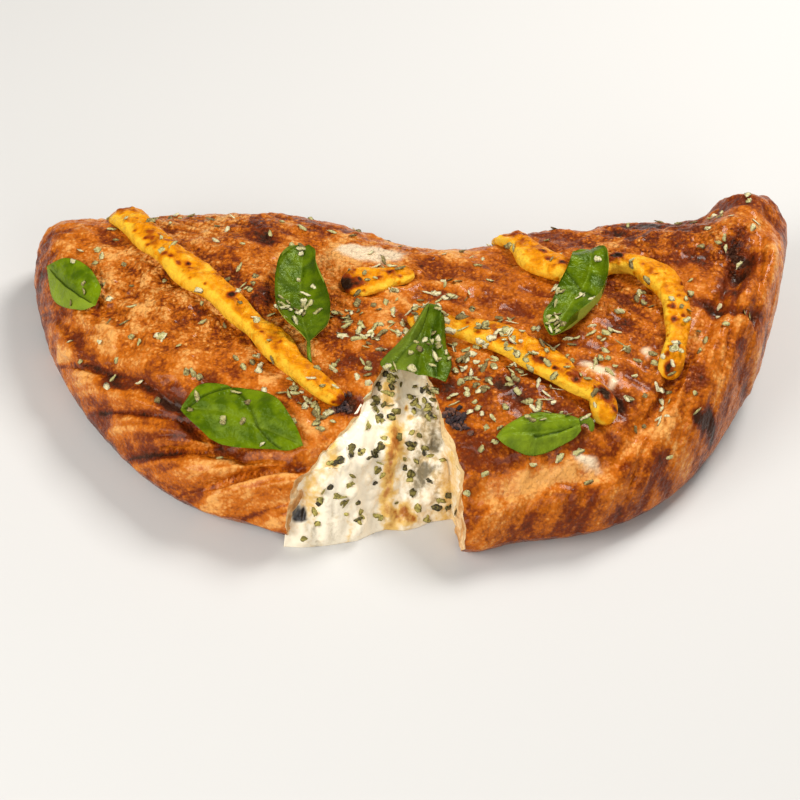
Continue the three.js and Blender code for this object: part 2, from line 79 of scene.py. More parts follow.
LEFT_CUT = np.array([(-8, -33), (-15, -46), (-20, -58), (-29, -72.5), (-36.5, -80), (-43, -90), (-50, -112)])
RIGHT_CUT = np.array([(3, -33), (6, -42), (12.5, -64), (16, -69), (20, -78), (20.5, -85), (27, -112)])
WEDGE_BACK_Y = -33.0
WEDGE_TOP = 70.0

# Where the melted filling ends in front: x and y.
FLOW = np.array([
    (-60, -93), (-38, -92.5), (-28, -90.5), (-17, -87), (-11, -82.5), (-7, -80.5), (0, -80.5), (5, -78.5),
    (10, -75), (19, -72.5), (30, -70),
])

# Raised places of the top crust and, below zero, sunken ones: x, y, half widths and height.
SWOLLEN = [
    (120, 50, 20, 9, 3), (40, -45, 24, 14, 2), (-74, -20, 16, 11, -3), (126, 27, 11, 10, -9),
    (117, 66, 6, 14, -3.5),
]

HOLLOW_LEFT, HOLLOW_RIGHT, FRONT_WALL, BACK_WALL = -134.0, 104.0, 18.0, 10.0
FILLING_CREST, FILLING_EDGE, RIDGE_X = 41.0, 2.5, -6.5


# ---- Curves and noise ----


def smooth(low, high, value):
    """0 up to low, 1 from high, and 3t^2 - 2t^3 of the share t of the way between them."""
    t = np.clip((value - low) / (high - low), 0, 1)
    return t * t * (3 - 2 * t)


def bell(value, centre, width):
    """1 at the centre, falling as e to the minus square of the distance over the width."""
    return np.exp(-(((value - centre) / width) ** 2))


def spot(x, y, centre_x, centre_y, width_x, width_y):
    """A round or oval spot: the product of a bell along X and a bell along Y."""
    return bell(x, centre_x, width_x) * bell(y, centre_y, width_y)


def spots_at(spots, x, y, breakup=0):
    """The sum of spots, each x, y, two half widths and a strength, with edges that a noise breaks up."""
    at_x, at_y = x + 4 * breakup, y - 3 * breakup
    return sum(strength * spot(at_x, at_y, *centre_and_widths) for *centre_and_widths, strength in spots)


def noise(points, size, seed):
    """Smooth noise from -1 to 1 at (n, 3) points: random numbers at the corners of cubes of the given size,
    blended inside each cube with 3t^2 - 2t^3 along every axis."""
    lattice = np.random.default_rng(seed).uniform(-1, 1, (64, 64, 64))
    scaled = points / size
    cell = np.floor(scaled).astype(int)
    share = scaled - cell
    share = share * share * (3 - 2 * share)
    total = np.zeros(len(points))
    for corner in np.ndindex(2, 2, 2):
        weight = np.prod(np.where(corner, share, 1 - share), axis=1)
        i, j, k = ((cell + corner) % 64).T
        total += weight * lattice[i, j, k]
    return total


def layered_noise(points, size, seed, layers=3):
    """Sum of noises, each half as coarse and half as strong as the one before."""
    return sum(noise(points, size / 2**n, seed + n) / 2**n for n in range(layers))


def blisters(points, size, seed):
    """Round bubbles from 0 to 1: one centre in each cube of the given size, at a random place and with a
    random radius. The height is the largest 1 - (distance / radius)^2 over the 27 cubes around a point."""
    draw = np.random.default_rng(seed)
    places = draw.uniform(0.15, 0.85, (32, 32, 32, 3))
    radii = draw.uniform(0.25, 0.6, (32, 32, 32))
    scaled = points / size
    cell = np.floor(scaled).astype(int)
    height = np.zeros(len(points))
    for step in np.ndindex(3, 3, 3):
        near = cell + step - 1
        i, j, k = (near % 32).T
        distance = np.linalg.norm(near + places[i, j, k] - scaled, axis=1)
        height = np.maximum(height, 1 - (distance / radii[i, j, k]) ** 2)
    return height


def grid_shares(columns, rows):
    """Shares from 0 to 1 along the columns and along the rows of a grid, as a column and a row of numbers."""
    return np.linspace(0, 1, columns + 1)[:, None], np.linspace(0, 1, rows + 1)[None]


def curve_through(stops, count):
    """Evenly spaced points of a centripetal Catmull-Rom curve through the stops, the unit directions there
    and the curve's length."""
    stops = np.array(stops, float)
    padded = np.concatenate([2 * stops[:1] - stops[1:2], stops, 2 * stops[-1:] - stops[-2:-1]])
    p0, p1, p2, p3 = (padded[n : len(padded) - 3 + n, None] for n in range(4))
    chords = (p0, p1), (p1, p2), (p2, p3)
    d0, d1, d2 = (np.linalg.norm(b - a, axis=-1, keepdims=True) ** 0.5 for a, b in chords)
    leave = d1 * ((p1 - p0) / d0 - (p2 - p0) / (d0 + d1) + (p2 - p1) / d1)
    arrive = d1 * ((p2 - p1) / d1 - (p3 - p1) / (d1 + d2) + (p3 - p2) / d2)
    t = np.linspace(0, 1, 60)[None, :, None]
    fine = (2 * t**3 - 3 * t**2 + 1) * p1 + (t**3 - 2 * t**2 + t) * leave
    fine = (fine + (3 * t**2 - 2 * t**3) * p2 + (t**3 - t**2) * arrive).reshape(-1, stops.shape[1])
    run = np.concatenate([[0], np.cumsum(np.linalg.norm(np.diff(fine, axis=0), axis=1))])
    at = np.linspace(0, run[-1], count)
    points = np.stack([np.interp(at, run, fine[:, axis]) for axis in range(fine.shape[1])], 1)
    direction = np.gradient(points, axis=0)
    return points, direction / np.linalg.norm(direction, axis=1, keepdims=True), run[-1]


# ---- The loaf's form, as in the part's source ----


def by_half(x, key):
    """The value that a key has on the left or the right half of the loaf."""
    return np.where(x < MIDDLE_X, LEFT_HALF[key], RIGHT_HALF[key])


def reach(x):
    """0 at the middle of the loaf, 1 at both tips."""
    return np.minimum(np.abs(x - MIDDLE_X) / HALF_LENGTH, 1)


def front_curve(x):
    """y of the bowed front: it rises by a power of the reach, with three bulges."""
    swept = FRONT_Y + by_half(x, "rise") * reach(x) ** by_half(x, "power")
    return swept - sum(out * bell(x, at, width) for at, width, out in FRONT_BULGES)


def back_curve(x):
    """y of the fold at the back: a slanted line, pushed in at its middle and at the left tip."""
    return BACK_Y + BACK_SLANT * x + sum(out * bell(x, at, width) for at, width, out in BACK_BULGES)


def round_end(x):
    """1 along the loaf, falling to 0 at a tip as the root of 1 minus a power of the reach."""
    return np.sqrt(1 - reach(x) ** by_half(x, "squareness"))


def edges_at(x):
    """Front and back y of the loaf at x, drawn together to a point at each tip."""
    tip, end = by_half(x, "tip_y"), round_end(x)
    return tip + (front_curve(x) - tip) * end, tip + (back_curve(x) - tip) * end


def crown_at(x):
    """Height of the loaf's crown: lower to the left, higher at the raised right tip."""
    return CROWN_HEIGHT + np.where(x < 0, -12 * reach(x) ** 2, 13 * bell(x, 140, 32))


def lift_at(x):
    """How far the right tip is bent up off what the loaf lies on."""
    return 20 * smooth(112, HALF_LENGTH + 6, x)


def slant(x):
    """How far a step of 1 square to the bowed front reaches along Y."""
    return np.hypot(1, (front_curve(x + 1) - front_curve(x - 1)) / 2)


def rim_distance(x, y):
    """Distance in from the bowed front, square to it."""
    return (y - front_curve(x)) / slant(x)


def round_rim(x, y, z):
    """Distance in from the bowed front, carried on down the steep face of the rim below zero."""
    return rim_distance(x, y) + (z - CROWN_HEIGHT) / 3


def pleat_turn(x, inward):
    """Which pleat a point is in, counted along the rim, with whole numbers at the valleys."""
    return (x * (1 + 0.5 * reach(x) ** 2) - by_half(x, "lean") * inward) / by_half(x, "pleats")


def pleat(x, inward):
    """1 in the valleys between two pleats and about -1 on their backs: 1 - 2 |sin(pi turn)|^0.6, uneven, and
    flatter on the right half."""
    turn = pleat_turn(x, inward)
    valley = 1 - 2 * np.abs(np.sin(np.pi * turn)) ** 0.6 * (0.8 + 0.2 * np.sin(turn * 2.1))
    return valley * by_half(x, "depth")


def seam_at(x):
    """How far in from the bowed front the rolled rim ends."""
    return np.interp(x, *SEAM.T)


def relief(x, y, z):
    """The rim's seam and pleats, low swells, and the sunken and raised places of the top crust."""
    inward = rim_distance(x, y)
    seam = -SEAM_DEPTH * bell(inward, seam_at(x), 4.5) * smooth(6, 30, np.abs(x + 8))
    on_rim = 1 - smooth(seam_at(x) - 5, seam_at(x) + 2, inward)
    pleats = -PLEAT_RELIEF * pleat(x, round_rim(x, y, z)) * on_rim
    swells = 1.3 * np.sin(x / 15 + y / 31 + 0.6) * np.sin(y / 17 - x / 60)
    swells += 0.8 * np.sin(x / 8.3 - y / 12.5) * np.sin(y / 9.1 + x / 29)
    return seam + pleats + swells + spots_at(SWOLLEN, x, y)


def crust_height(x, y):
    """z of the top crust: a dome, the root of 1 - |across|^3, from the widest level to the crown, plus the
    relief, all shrunk to a point at each tip."""
    front, back = edges_at(x)
    across = np.clip((2 * y - front - back) / np.maximum(back - front, 1e-6), -1, 1)
    dome = np.sqrt(1 - np.abs(across) ** TOP_SQUARENESS)
    widest = WIDEST_Z + lift_at(x)
    rise = (crown_at(x) - widest) * dome
    return widest + (rise + relief(x, y, widest + rise) * smooth(0, 0.45, dome)) * round_end(x)


def cut_at(cut, y):
    """x of a cut at a given y."""
    return np.interp(-y, -cut[:, 1], cut[:, 0])


# ---- Meshes ----


def sheet_triangles(columns, rows, first=0):
    """Triangle corners of a sheet of (columns + 1) x (rows + 1) points, each square split in two."""
    a = (first + np.arange(columns)[:, None] * (rows + 1) + np.arange(rows)).ravel()
    b, c, d = a + rows + 1, a + rows + 2, a + 1
    return np.concatenate([np.stack([a, b, c], 1), np.stack([a, c, d], 1)])


def wall_triangles(upper, lower):
    """Triangle corners of the wall between two rows of as many points, given as their numbers."""
    a, b, c, d = lower[:-1], lower[1:], upper[1:], upper[:-1]
    return np.concatenate([np.stack([a, b, c], 1), np.stack([a, c, d], 1)])


def weld(points, triangles, marks):
    """Joins points that lie within a ten-thousandth of a millimetre, and drops triangles of no area, pairs of
    triangles that lie back to back, and points that no triangle uses."""
    _, kept, number = np.unique(np.round(points, 4), axis=0, return_index=True, return_inverse=True)
    triangles = number.ravel()[triangles]
    _, alike, times = np.unique(np.sort(triangles, 1), axis=0, return_inverse=True, return_counts=True)
    a, b, c = triangles.T
    triangles = triangles[(a != b) & (b != c) & (c != a) & (times[alike.ravel()] == 1)]
    used, triangles = np.unique(triangles, return_inverse=True)
    kept = kept[used]
    return points[kept], triangles.reshape(-1, 3), {name: values[kept] for name, values in marks.items()}


def closed_sheets(upper, lower, marks=None):
    """The closed skin between an upper and a lower sheet, (columns + 1, rows + 1, 3) points each, columns
    towards +X and rows towards +Y. The lower one may have fewer rows where both end in a point."""
    columns, rows = upper.shape[0] - 1, upper.shape[1] - 1
    lower_rows = lower.shape[1] - 1
    top = np.arange(upper.shape[0] * upper.shape[1]).reshape(upper.shape[:2])
    bottom = top.size + np.arange(lower.shape[0] * lower.shape[1]).reshape(lower.shape[:2])
    parts = [
        sheet_triangles(columns, rows),
        sheet_triangles(columns, lower_rows, top.size)[:, ::-1],
        wall_triangles(top[:, 0], bottom[:, 0]),
        wall_triangles(top[::-1, -1], bottom[::-1, -1]),
    ]
    if rows == lower_rows:
        parts += [wall_triangles(top[0, ::-1], bottom[0, ::-1]), wall_triangles(top[-1], bottom[-1])]
    points = np.concatenate([upper.reshape(-1, 3), lower.reshape(-1, 3)])
    return weld(points, np.concatenate(parts), marks or {})


def point_normals(points, triangles):
    """Unit normal of every point: the sum of the area normals of the triangles round it."""
    a, b, c = (points[triangles[:, n]] for n in range(3))
    face = np.cross(b - a, c - a)
    total = np.stack([
        sum(np.bincount(triangles[:, n], face[:, axis], len(points)) for n in range(3)) for axis in range(3)
    ], 1)
    return total / np.maximum(np.linalg.norm(total, axis=1, keepdims=True), 1e-12)


def place(points):
    """Loaf millimetres to the frame's metres."""
    return (points + LOAF_TO_PART) * METRES


def read_points(mesh):
    """A mesh's points in loaf millimetres."""
    flat = np.empty(len(mesh.vertices) * 3, np.float32)
    mesh.vertices.foreach_get("co", flat)
    return flat.reshape(-1, 3) / METRES - LOAF_TO_PART


def mark(mesh, name, values):
    """Stores one number for each point, which a material reads by its name."""
    attribute = mesh.attributes.get(name) or mesh.attributes.new(name, "FLOAT", "POINT")
    attribute.data.foreach_set("value", values.astype(np.float32))


def link_object(name, data):
    """A new object for a mesh, light or camera, linked to the scene."""
    made = bpy.data.objects.new(name, data)
    bpy.context.scene.collection.objects.link(made)
    return made


def new_object(name, points, triangles, material, marks=None):
    """An object at the origin with a mesh of triangles, shaded smooth, whose place is in its mesh."""
    mesh = bpy.data.meshes.new(name)
    mesh.vertices.add(len(points))
    mesh.vertices.foreach_set("co", place(points).astype(np.float32).ravel())
    mesh.loops.add(triangles.size)
    mesh.loops.foreach_set("vertex_index", triangles.astype(np.int32).ravel())
    mesh.polygons.add(len(triangles))
    mesh.polygons.foreach_set("loop_start", np.arange(0, triangles.size, 3, dtype=np.int32))
    mesh.update(calc_edges=True)
    mesh.polygons.foreach_set("use_smooth", np.ones(len(triangles), bool))
    for mark_name, values in (marks or {}).items():
        mark(mesh, mark_name, values)
    mesh.materials.append(material)
    return link_object(name, mesh)


def carve(target, tool, operation):
    """Joins or cuts a closed object by another, which is then removed. Cut faces keep the tool's material."""
    modifier = target.modifiers.new(operation.lower(), "BOOLEAN")
    modifier.operation = operation
    modifier.object = tool
    modifier.solver = "MANIFOLD"
    modifier.material_mode = "TRANSFER"
    carved = bpy.data.meshes.new_from_object(target.evaluated_get(bpy.context.evaluated_depsgraph_get()))
    target.modifiers.clear()
    target.data = carved
    bpy.data.objects.remove(tool)


def finish_piece(piece, slot, *nodes):
    """Lets a piece ride on the loaf and stand for its nodes, which it hides. The slot is not used."""
    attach(piece, "root")
    if nodes:
        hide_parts(*nodes)
    return piece


# ---- Node groups and materials ----


def new_group(name, inputs, outputs):
    """A shader node group with named sockets. Inputs are (name, kind, default), outputs (name, kind)."""
    group = bpy.data.node_groups.new(name, "ShaderNodeTree")
    for socket_name, kind, default in inputs:
        socket = group.interface.new_socket(socket_name, in_out="INPUT", socket_type="NodeSocket" + kind)
        if default is not None:
            socket.default_value = default
    for socket_name, kind in outputs:
        group.interface.new_socket(socket_name, in_out="OUTPUT", socket_type="NodeSocket" + kind)
    return group, Wiring(group, group.nodes.new("NodeGroupInput").outputs)


class Wiring:
    """Adds nodes to a tree and links them. A value that is a socket is linked, any other is set."""

    def __init__(self, tree, given=None):
        self.tree = tree
        self.given = given

    def node(self, kind, settings=None, **inputs):
        """One node. Settings are its properties, and inputs are sockets by name, with _ for a space."""
        made = self.tree.nodes.new("ShaderNode" + kind)
        for key, value in (settings or {}).items():
            setattr(made, key, value)
        self.feed_named(made, inputs)
        return made

    def feed_named(self, made, inputs):
        """Feeds a node's inputs by name, with _ for a space."""
        for key, value in inputs.items():
            self.feed(made.inputs[key.replace("_", " ")], value)

    def feed(self, socket, value):
        """Links a socket to another one, or sets its value."""
        if isinstance(value, bpy.types.NodeSocket):
            self.tree.links.new(value, socket)
        else:
            socket.default_value = value

    def math(self, operation, first, second):
        """The result of one sum on two numbers."""
        made = self.node("Math", {"operation": operation})
        self.feed(made.inputs[0], first)
        self.feed(made.inputs[1], second)
        return made.outputs[0]

    def plus(self, level, value, share):
        """A level with a share of a value added."""
        return self.math("ADD", level, self.math("MULTIPLY", value, share))

    def sway(self, level, mask, share):
        """A level moved up or down by a share of how far a mask is from its middle."""
        return self.plus(level, self.math("SUBTRACT", mask, 0.5), share)

    def between(self, value, low, high):
        """0 up to low, 1 from high, smooth between them."""
        made = self.node("MapRange", {"interpolation_type": "SMOOTHSTEP"})
        for socket_name, number in (("Value", value), ("From Min", low), ("From Max", high)):
            self.feed(made.inputs[socket_name], number)
        return made.outputs[0]

    def blend(self, share, first, second):
        """A colour the given share of the way from the first to the second."""
        made = self.node("Mix", {"data_type": "RGBA"})
        self.feed(made.inputs[0], share)
        self.feed(made.inputs[6], first)
        self.feed(made.inputs[7], second)
        return made.outputs[2]

    def group(self, group, **inputs):
        """The outputs of one placed node group, with its inputs by name, with _ for a space."""
        made = self.tree.nodes.new("ShaderNodeGroup")
        made.node_tree = group
        self.feed_named(made, inputs)
        return made.outputs

    def put_out(self, **outputs):
        """Feeds a group's outputs by name, with _ for a space."""
        self.feed_named(self.tree.nodes.new("NodeGroupOutput"), outputs)


# Heights between which the tops of bubbles and the pits between them begin and end.
TOPS, PITS = (0.52, 0.78), (0.46, 0.24)

# How far baked is golden, brown and charred: where each colour begins to show and where it is all there.
GOLDEN_AT, BROWN_AT, CHARRED_AT = (0.05, 0.38), (0.32, 0.66), (0.62, 0.95)


def mottle_group():
    """Uneven blotches from 0 to 1: layered noise, cut at a low and a high level."""
    group, wire = new_group(
        "Mottle",
        [("Vector", "Vector", None), ("Size", "Float", 0.01), ("Detail", "Float", 3.0), ("Low", "Float", 0.4),
         ("High", "Float", 0.6)],
        [("Mask", "Float")],
    )
    scale = wire.math("DIVIDE", 1.0, wire.given["Size"])
    cloud = wire.node("TexNoise", Vector=wire.given["Vector"], Scale=scale, Detail=wire.given["Detail"])
    wire.put_out(Mask=wire.between(cloud.outputs[0], wire.given["Low"], wire.given["High"]))
    return group


def bubble_group():
    """Fine round bubbles round scattered points: a height that falls with the distance to the nearest point,
    masks of the tops and of the pits between bubbles, and a random number for each bubble."""
    group, wire = new_group(
        "Bubbles",
        [("Vector", "Vector", None), ("Size", "Float", 0.002), ("Warp", "Float", 0.0005)],
        [("Height", "Float"), ("Tops", "Float"), ("Pits", "Float"), ("Each", "Float")],
    )
    scale = wire.math("DIVIDE", 1.0, wire.given["Size"])
    coarser = wire.math("MULTIPLY", scale, 0.7)
    cloud = wire.node("TexNoise", Vector=wire.given["Vector"], Scale=coarser, Detail=1.0)
    shift = wire.node("VectorMath", {"operation": "SCALE"}, Scale=wire.given["Warp"])
    wire.feed(shift.inputs[0], cloud.outputs[1])
    moved = wire.node("VectorMath", {"operation": "ADD"})
    wire.feed(moved.inputs[0], wire.given["Vector"])
    wire.feed(moved.inputs[1], shift.outputs[0])
    cells = wire.node("TexVoronoi", Vector=moved.outputs[0], Scale=scale)
    height = wire.math("SUBTRACT", 1.0, cells.outputs[0])
    each = wire.node("SeparateColor", Color=cells.outputs["Color"]).outputs[0]
    tops, pits = wire.between(height, *TOPS), wire.between(height, *PITS)
    wire.put_out(Height=height, Tops=tops, Pits=pits, Each=each)
    return group


def toasting_group():
    """The colour of dough or cheese for how far it is baked, from 0 to 1, through four given colours."""
    group, wire = new_group(
        "Toasting",
        [("Baked", "Float", 0.4), ("Pale", "Color", (1, 1, 1, 1)), ("Golden", "Color", (1, 1, 1, 1)),
         ("Brown", "Color", (1, 1, 1, 1)), ("Charred", "Color", (0, 0, 0, 1))],
        [("Color", "Color")],
    )
    colour = wire.given["Pale"]
    for name, levels in (("Golden", GOLDEN_AT), ("Brown", BROWN_AT), ("Charred", CHARRED_AT)):
        colour = wire.blend(wire.between(wire.given["Baked"], *levels), colour, wire.given[name])
    wire.put_out(Color=colour)
    return group


MOTTLE = mottle_group()
BUBBLES = bubble_group()
TOASTING = toasting_group()


def new_material(name, **settings):
    """A material with a Principled BSDF whose named sockets are set, and the wiring of its tree."""
    material = bpy.data.materials.new(name)
    material.use_nodes = True
    shader = material.node_tree.nodes["Principled BSDF"]
    wire = Wiring(material.node_tree)
    wire.feed_named(shader, settings)
    return material, wire, shader, wire.node("TexCoord").outputs["Object"]


def read_mark(wire, name):
    """The number that a piece's points carry under a name."""
    return wire.node("Attribute", {"attribute_name": name}).outputs["Fac"]


def finish_surface(wire, shader, colour, height, depth, roughness=None):
    """Feeds a shader its colour, a normal for a height in shares of a depth in metres and, where it changes
    over the surface, its roughness."""
    wire.feed(shader.inputs["Base Color"], colour)
    wire.feed(shader.inputs["Normal"], wire.node("Bump", Height=height, Distance=depth).outputs[0])
    if roughness is not None:
        wire.feed(shader.inputs["Roughness"], roughness)


def mottle(wire, vector, size, detail, low, high):
    """Uneven blotches of a size in metres, from 0 to 1."""
    return wire.group(MOTTLE, Vector=vector, Size=size, Detail=detail, Low=low, High=high)[0]


def toasted(wire, level, colours):
    """The colour of dough or cheese baked to a level, through its pale, golden, brown and charred colours."""
    named = dict(zip(("Pale", "Golden", "Brown", "Charred"), colours))
    return wire.group(TOASTING, Baked=level, **named)[0]


# Colours from pale through golden and brown to charred.
DOUGH = (0.8, 0.37, 0.095, 1), (0.52, 0.125, 0.004, 1), (0.16, 0.022, 0.002, 1), (0.035, 0.009, 0.004, 1)
CRUMB = (0.85, 0.6, 0.32, 1), (0.62, 0.28, 0.07, 1), (0.24, 0.06, 0.01, 1), (0.02, 0.01, 0.008, 1)
MELTED = (0.97, 0.86, 0.66, 1), (0.8, 0.5, 0.13, 1), (0.42, 0.13, 0.015, 1), (0.02, 0.012, 0.01, 1)
STRAND = (0.84, 0.47, 0.03, 1), (0.72, 0.245, 0.001, 1), (0.26, 0.035, 0.002, 1), (0.02, 0.007, 0.004, 1)

# Single colours.
LEAKED_CHEESE, COATING = (0.84, 0.64, 0.42, 1), (0.86, 0.62, 0.3, 1)
# The colour for the gap beside the cut is a painted shadow.
WET_CHEESE, PAINTED_GAP_SHADOW = (0.2, 0.16, 0.09, 1), (0.02, 0.015, 0.012, 1)
LEAF_DARK, LEAF_LIGHT, LEAF_VEIN = (0.055, 0.1, 0.001, 1), (0.15, 0.22, 0.002, 1), (0.24, 0.32, 0.03, 1)
# The underside's pale green is also painted light on some tops, and the crease colour is painted shade in the
# creases as well as the deeper green of some leaves and the stalks.
LEAF_UNDERSIDE_AND_PAINTED_LIGHT, LEAF_DEEP_GREEN_AND_CREASE_SHADE = (0.34, 0.42, 0.05, 1), (0.012, 0.03, 0.001, 1)


def baked_dough():
    """Crust: baked from pale through golden and brown to charred, with the painted shade and light that its
    marks carry, bubbles whose tops are paler, partly as painted highlights, with painted shade in the pits
    between them, a thin shine of oil and a few patches of cheese that has leaked through."""
    material, wire, shader, place_on = new_material(
        "baked_dough", IOR=1.45, Specular_IOR_Level=0.2, Specular_Tint=(1, 0.65, 0.35, 1), Coat_Weight=0.16,
        Coat_Roughness=0.1,
    )
    baked, bubbly = read_mark(wire, "baked"), read_mark(wire, "bubbly")
    coarse = mottle(wire, place_on, size=0.009, detail=4.0, low=0.3, high=0.7)
    fine = mottle(wire, place_on, size=0.0032, detail=4.0, low=0.36, high=0.64)
    grain = mottle(wire, place_on, size=0.0014, detail=3.0, low=0.36, high=0.64)
    height, tops, pits, each = wire.group(BUBBLES, Vector=place_on, Size=0.0018, Warp=0.0012)
    speck_height, speck_tops, *_ = wire.group(BUBBLES, Vector=place_on, Size=0.0015, Warp=0.0007)
    uneven = wire.plus(0.3, bubbly, 0.7)
    level = baked
    # Blotches of three sizes, and painted shade in the pits between the bubbles.
    for mask, share in ((coarse, 0.3), (fine, 0.24), (grain, 0.16), (pits, 0.1)):
        level = wire.sway(level, mask, wire.math("MULTIPLY", uneven, share))
    # Paler tops of the bubbles: partly paler dough, partly painted highlights.
    pale_and_lit_tops = wire.math("MULTIPLY", wire.math("MULTIPLY", tops, wire.math("SUBTRACT", each, 0.4)), uneven)
    level = wire.plus(wire.plus(level, pale_and_lit_tops, -0.55), speck_tops, -0.08)
    leaked = wire.sway(read_mark(wire, "leaked"), fine, 0.12)
    colour = wire.blend(wire.between(leaked, 0.15, 0.8), toasted(wire, level, DOUGH), LEAKED_CHEESE)
    raised = wire.math("MULTIPLY", height, wire.math("ADD", 0.2, bubbly))
    for mask, share in ((speck_height, 0.4), (fine, 0.5), (grain, 0.25)):
        raised = wire.plus(raised, mask, wire.math("MULTIPLY", uneven, share))
    finish_surface(wire, shader, colour, raised, depth=0.0013, roughness=wire.plus(0.26, fine, 0.22))
    return material


def crumb():
    """The inside of the dough where it is cut: pale and open, a little golden, and coated with cheese where
    the filling touched it."""
    material, wire, shader, place_on = new_material("dough_crumb", Roughness=0.7)
    patches = mottle(wire, place_on, size=0.006, detail=4.0, low=0.35, high=0.7)
    pores = wire.group(BUBBLES, Vector=place_on, Size=0.0022, Warp=0.001)[0]
    level = wire.plus(wire.math("MULTIPLY", patches, 0.34), pores, 0.2)
    colour = wire.blend(read_mark(wire, "coated"), toasted(wire, level, CRUMB), COATING)
    finish_surface(wire, shader, colour, pores, depth=0.0012)
    return material


# ---- The crust ----

LOAF_COLUMNS, LOAF_ROWS, UNDERSIDE_ROWS = 430, 190, 10
HOLLOW_COLUMNS, HOLLOW_ROWS = 60, 24
CUT_STEPS, CUT_LEVELS, CUT_RAGGEDNESS = 70, 72, 0.9
CUT_EDGE_ANGLE = math.radians(50)
COATED_FROM_Y = (-84, -77)

# Noises of the crust: the size of their lumps in millimetres and the seed of their numbers.
STREAKS = (5, 3)
CRINKLES, FINE_CRINKLES, WRINKLES = (9, 7), (3, 12), (9, 14)
LARGE_BUBBLES, SMALL_BUBBLES, BUBBLY_EDGES = (6, 20), (3.2, 21), (9, 31)
FOLD_WANDER = (5, 33)
RAGGED_X, RAGGED_Y = (5, 40), (5, 44)
BREAKUP, CLOUDS, PATCHES = (7, 50), (24, 60), (11, 64)

# Roasted places: x, y, half widths and how much darker. The spot at (126, 34) lies in the deep hollow of the
# raised tip, where it is painted shade.
ROASTED = [
    (-66, 40, 5, 14, 0.3), (-140, 45, 14, 12, 0.14), (-128, -13, 11, 9, 0.16), (-113, -34, 9, 5, 0.1),
    (-91, -52, 7, 3, 0.12), (-75, -21, 14, 8, 0.26), (-60, -4, 6, 6, 0.42), (-24, -58, 6, 4, 0.5),
    (-23, -36, 10, 8, 0.32), (-27, 2, 6, 6, 0.25), (12, -48, 5, 9, 0.36), (33, -45, 13, 7, 0.25),
    (52, -51, 5, 2.5, 0.3), (81, -46, 5, 4, 0.25), (27, -70, 12, 5, 0.25), (30, 52, 14, 8, 0.16),
    (84, 8, 9, 10, 0.15), (113, 6, 8, 5, 0.2), (124, 11, 6, 8, 0.44), (126, 34, 6, 9, 0.22),
    (79, -47, 3, 2.5, 0.3), (124, 46, 4, 4, 0.2), (96, 62, 9, 4, 0.3), (92, 58, 24, 9, 0.14),
    (106, 42, 10, 12, 0.16), (-35, 60, 14, 8, 0.12), (122, -14, 14, 12, 0.08), (27, -57, 12, 6, 0.18),
    (-96, 12, 4, 6, 0.2), (-108, 40, 7, 4, 0.16), (44, 2, 7, 4, 0.2), (-135, 26, 10, 9, 0.08),
]

# Cheese that has leaked through the crust: x, y, half widths and strength.
LEAKED = [
    (-19, 28.5, 10, 5, 1.7), (-29, 31.5, 5, 3.5, 1.1), (66, -68.3, 6, 1.8, 0.9), (65.5, -29, 4, 2, 0.7),
    (71, -31.5, 4, 2.2, 0.9), (75.5, -37, 2, 4.5, 0.75), (89, -21, 1.8, 3.5, 0.7), (10, 52, 5, 2, 0.5),
]

# Folds of the crust: a route over it, half width, how far they stand up or (below zero) sink in, and how much
# darker they are painted: painted shade along the sunken folds, painted light (below zero) along the raised
# ones, and along the last, which neither stands up nor sinks, a dark streak in the crust's own colour.
FOLDS = [
    ([(122, 58), (118.5, 44), (117.5, 32), (118.5, 14)], 3, 1.4, -0.16),
    ([(127, 49), (137, 46), (140.5, 32), (137, 14)], 4, 0.8, -0.1),
    ([(126, 44), (127.5, 30), (128, 14)], 5, -0.4, 0.22),
    ([(105, 8), (112, 6), (119, 3), (127, 0), (137, 7)], 2, -1.6, 0.34),
    ([(121, -4), (130, -3), (135, -12)], 2.4, 0.9, -0.12),
    ([(116, -8), (119, -20), (117, -32)], 1.6, 0.7, -0.14),
    ([(107, -16), (101, -27), (97, -33), (90.5, -45), (87, -53)], 1.3, -0.9, 0.24),
    ([(-125, -7), (-117, -28)], 2.6, 1, -0.16),
    ([(-129, 32), (-125, 12), (-123, -2)], 4, 0.8, -0.14),
    ([(-136, -22), (-124, -31), (-108, -41), (-92, -54), (-82, -60)], 1.3, -1.2, 0.36),
    ([(24, -78), (36, -79), (50, -75), (66, -69)], 3, 0.6, -0.15),
    ([(52, -77), (58, -75.5), (64, -77)], 1.4, -1, 0.3),
    ([(-24, 62), (-30, 52), (-34, 44)], 4, -1, 0.3),
    ([(106.5, -44), (111.6, -41.2), (117.5, -36.4)], 2.1, 0, 0.8),
]

# Pale places: x, y, half widths and how much lighter.
PALE = [
    (-23, 29, 13, 8, 0.22), (-15, 0, 13, 9, 0.16), (-86, 44, 10, 10, 0.1), (-120, 36, 10, 9, 0.1),
    (-100, -10, 14, 10, 0.06), (38, 40, 5, 9, 0.25), (69, -32, 7, 4, 0.4), (66, -70, 6, 2.5, 0.22),
    (98, -52, 12, 6, 0.2), (-72, -35, 9, 5, 0.16), (72, -18, 10, 6, 0.14), (50, 15, 10, 10, 0.1),
    (132, 52, 9, 6, 0.26), (20, 38, 16, 9, 0.08), (0, 35, 12, 8, 0.1), (-24, -15, 9, 7, 0.07),
    (-107, -57, 13, 9, 0.08), (-139, -15, 7, 10, 0.09),
]

# Shoulders of the raised tip and, below zero, hollows beside them: x, y, half widths and height.
SHOULDERS = [
    (128, 72, 8, 10, 2.6), (108, 73, 9, 12, -2.6), (140, -2, 10, 12, 1.6), (136, 52, 18, 16, -1.6),
    (145, 62, 8, 12, -1.6),
]

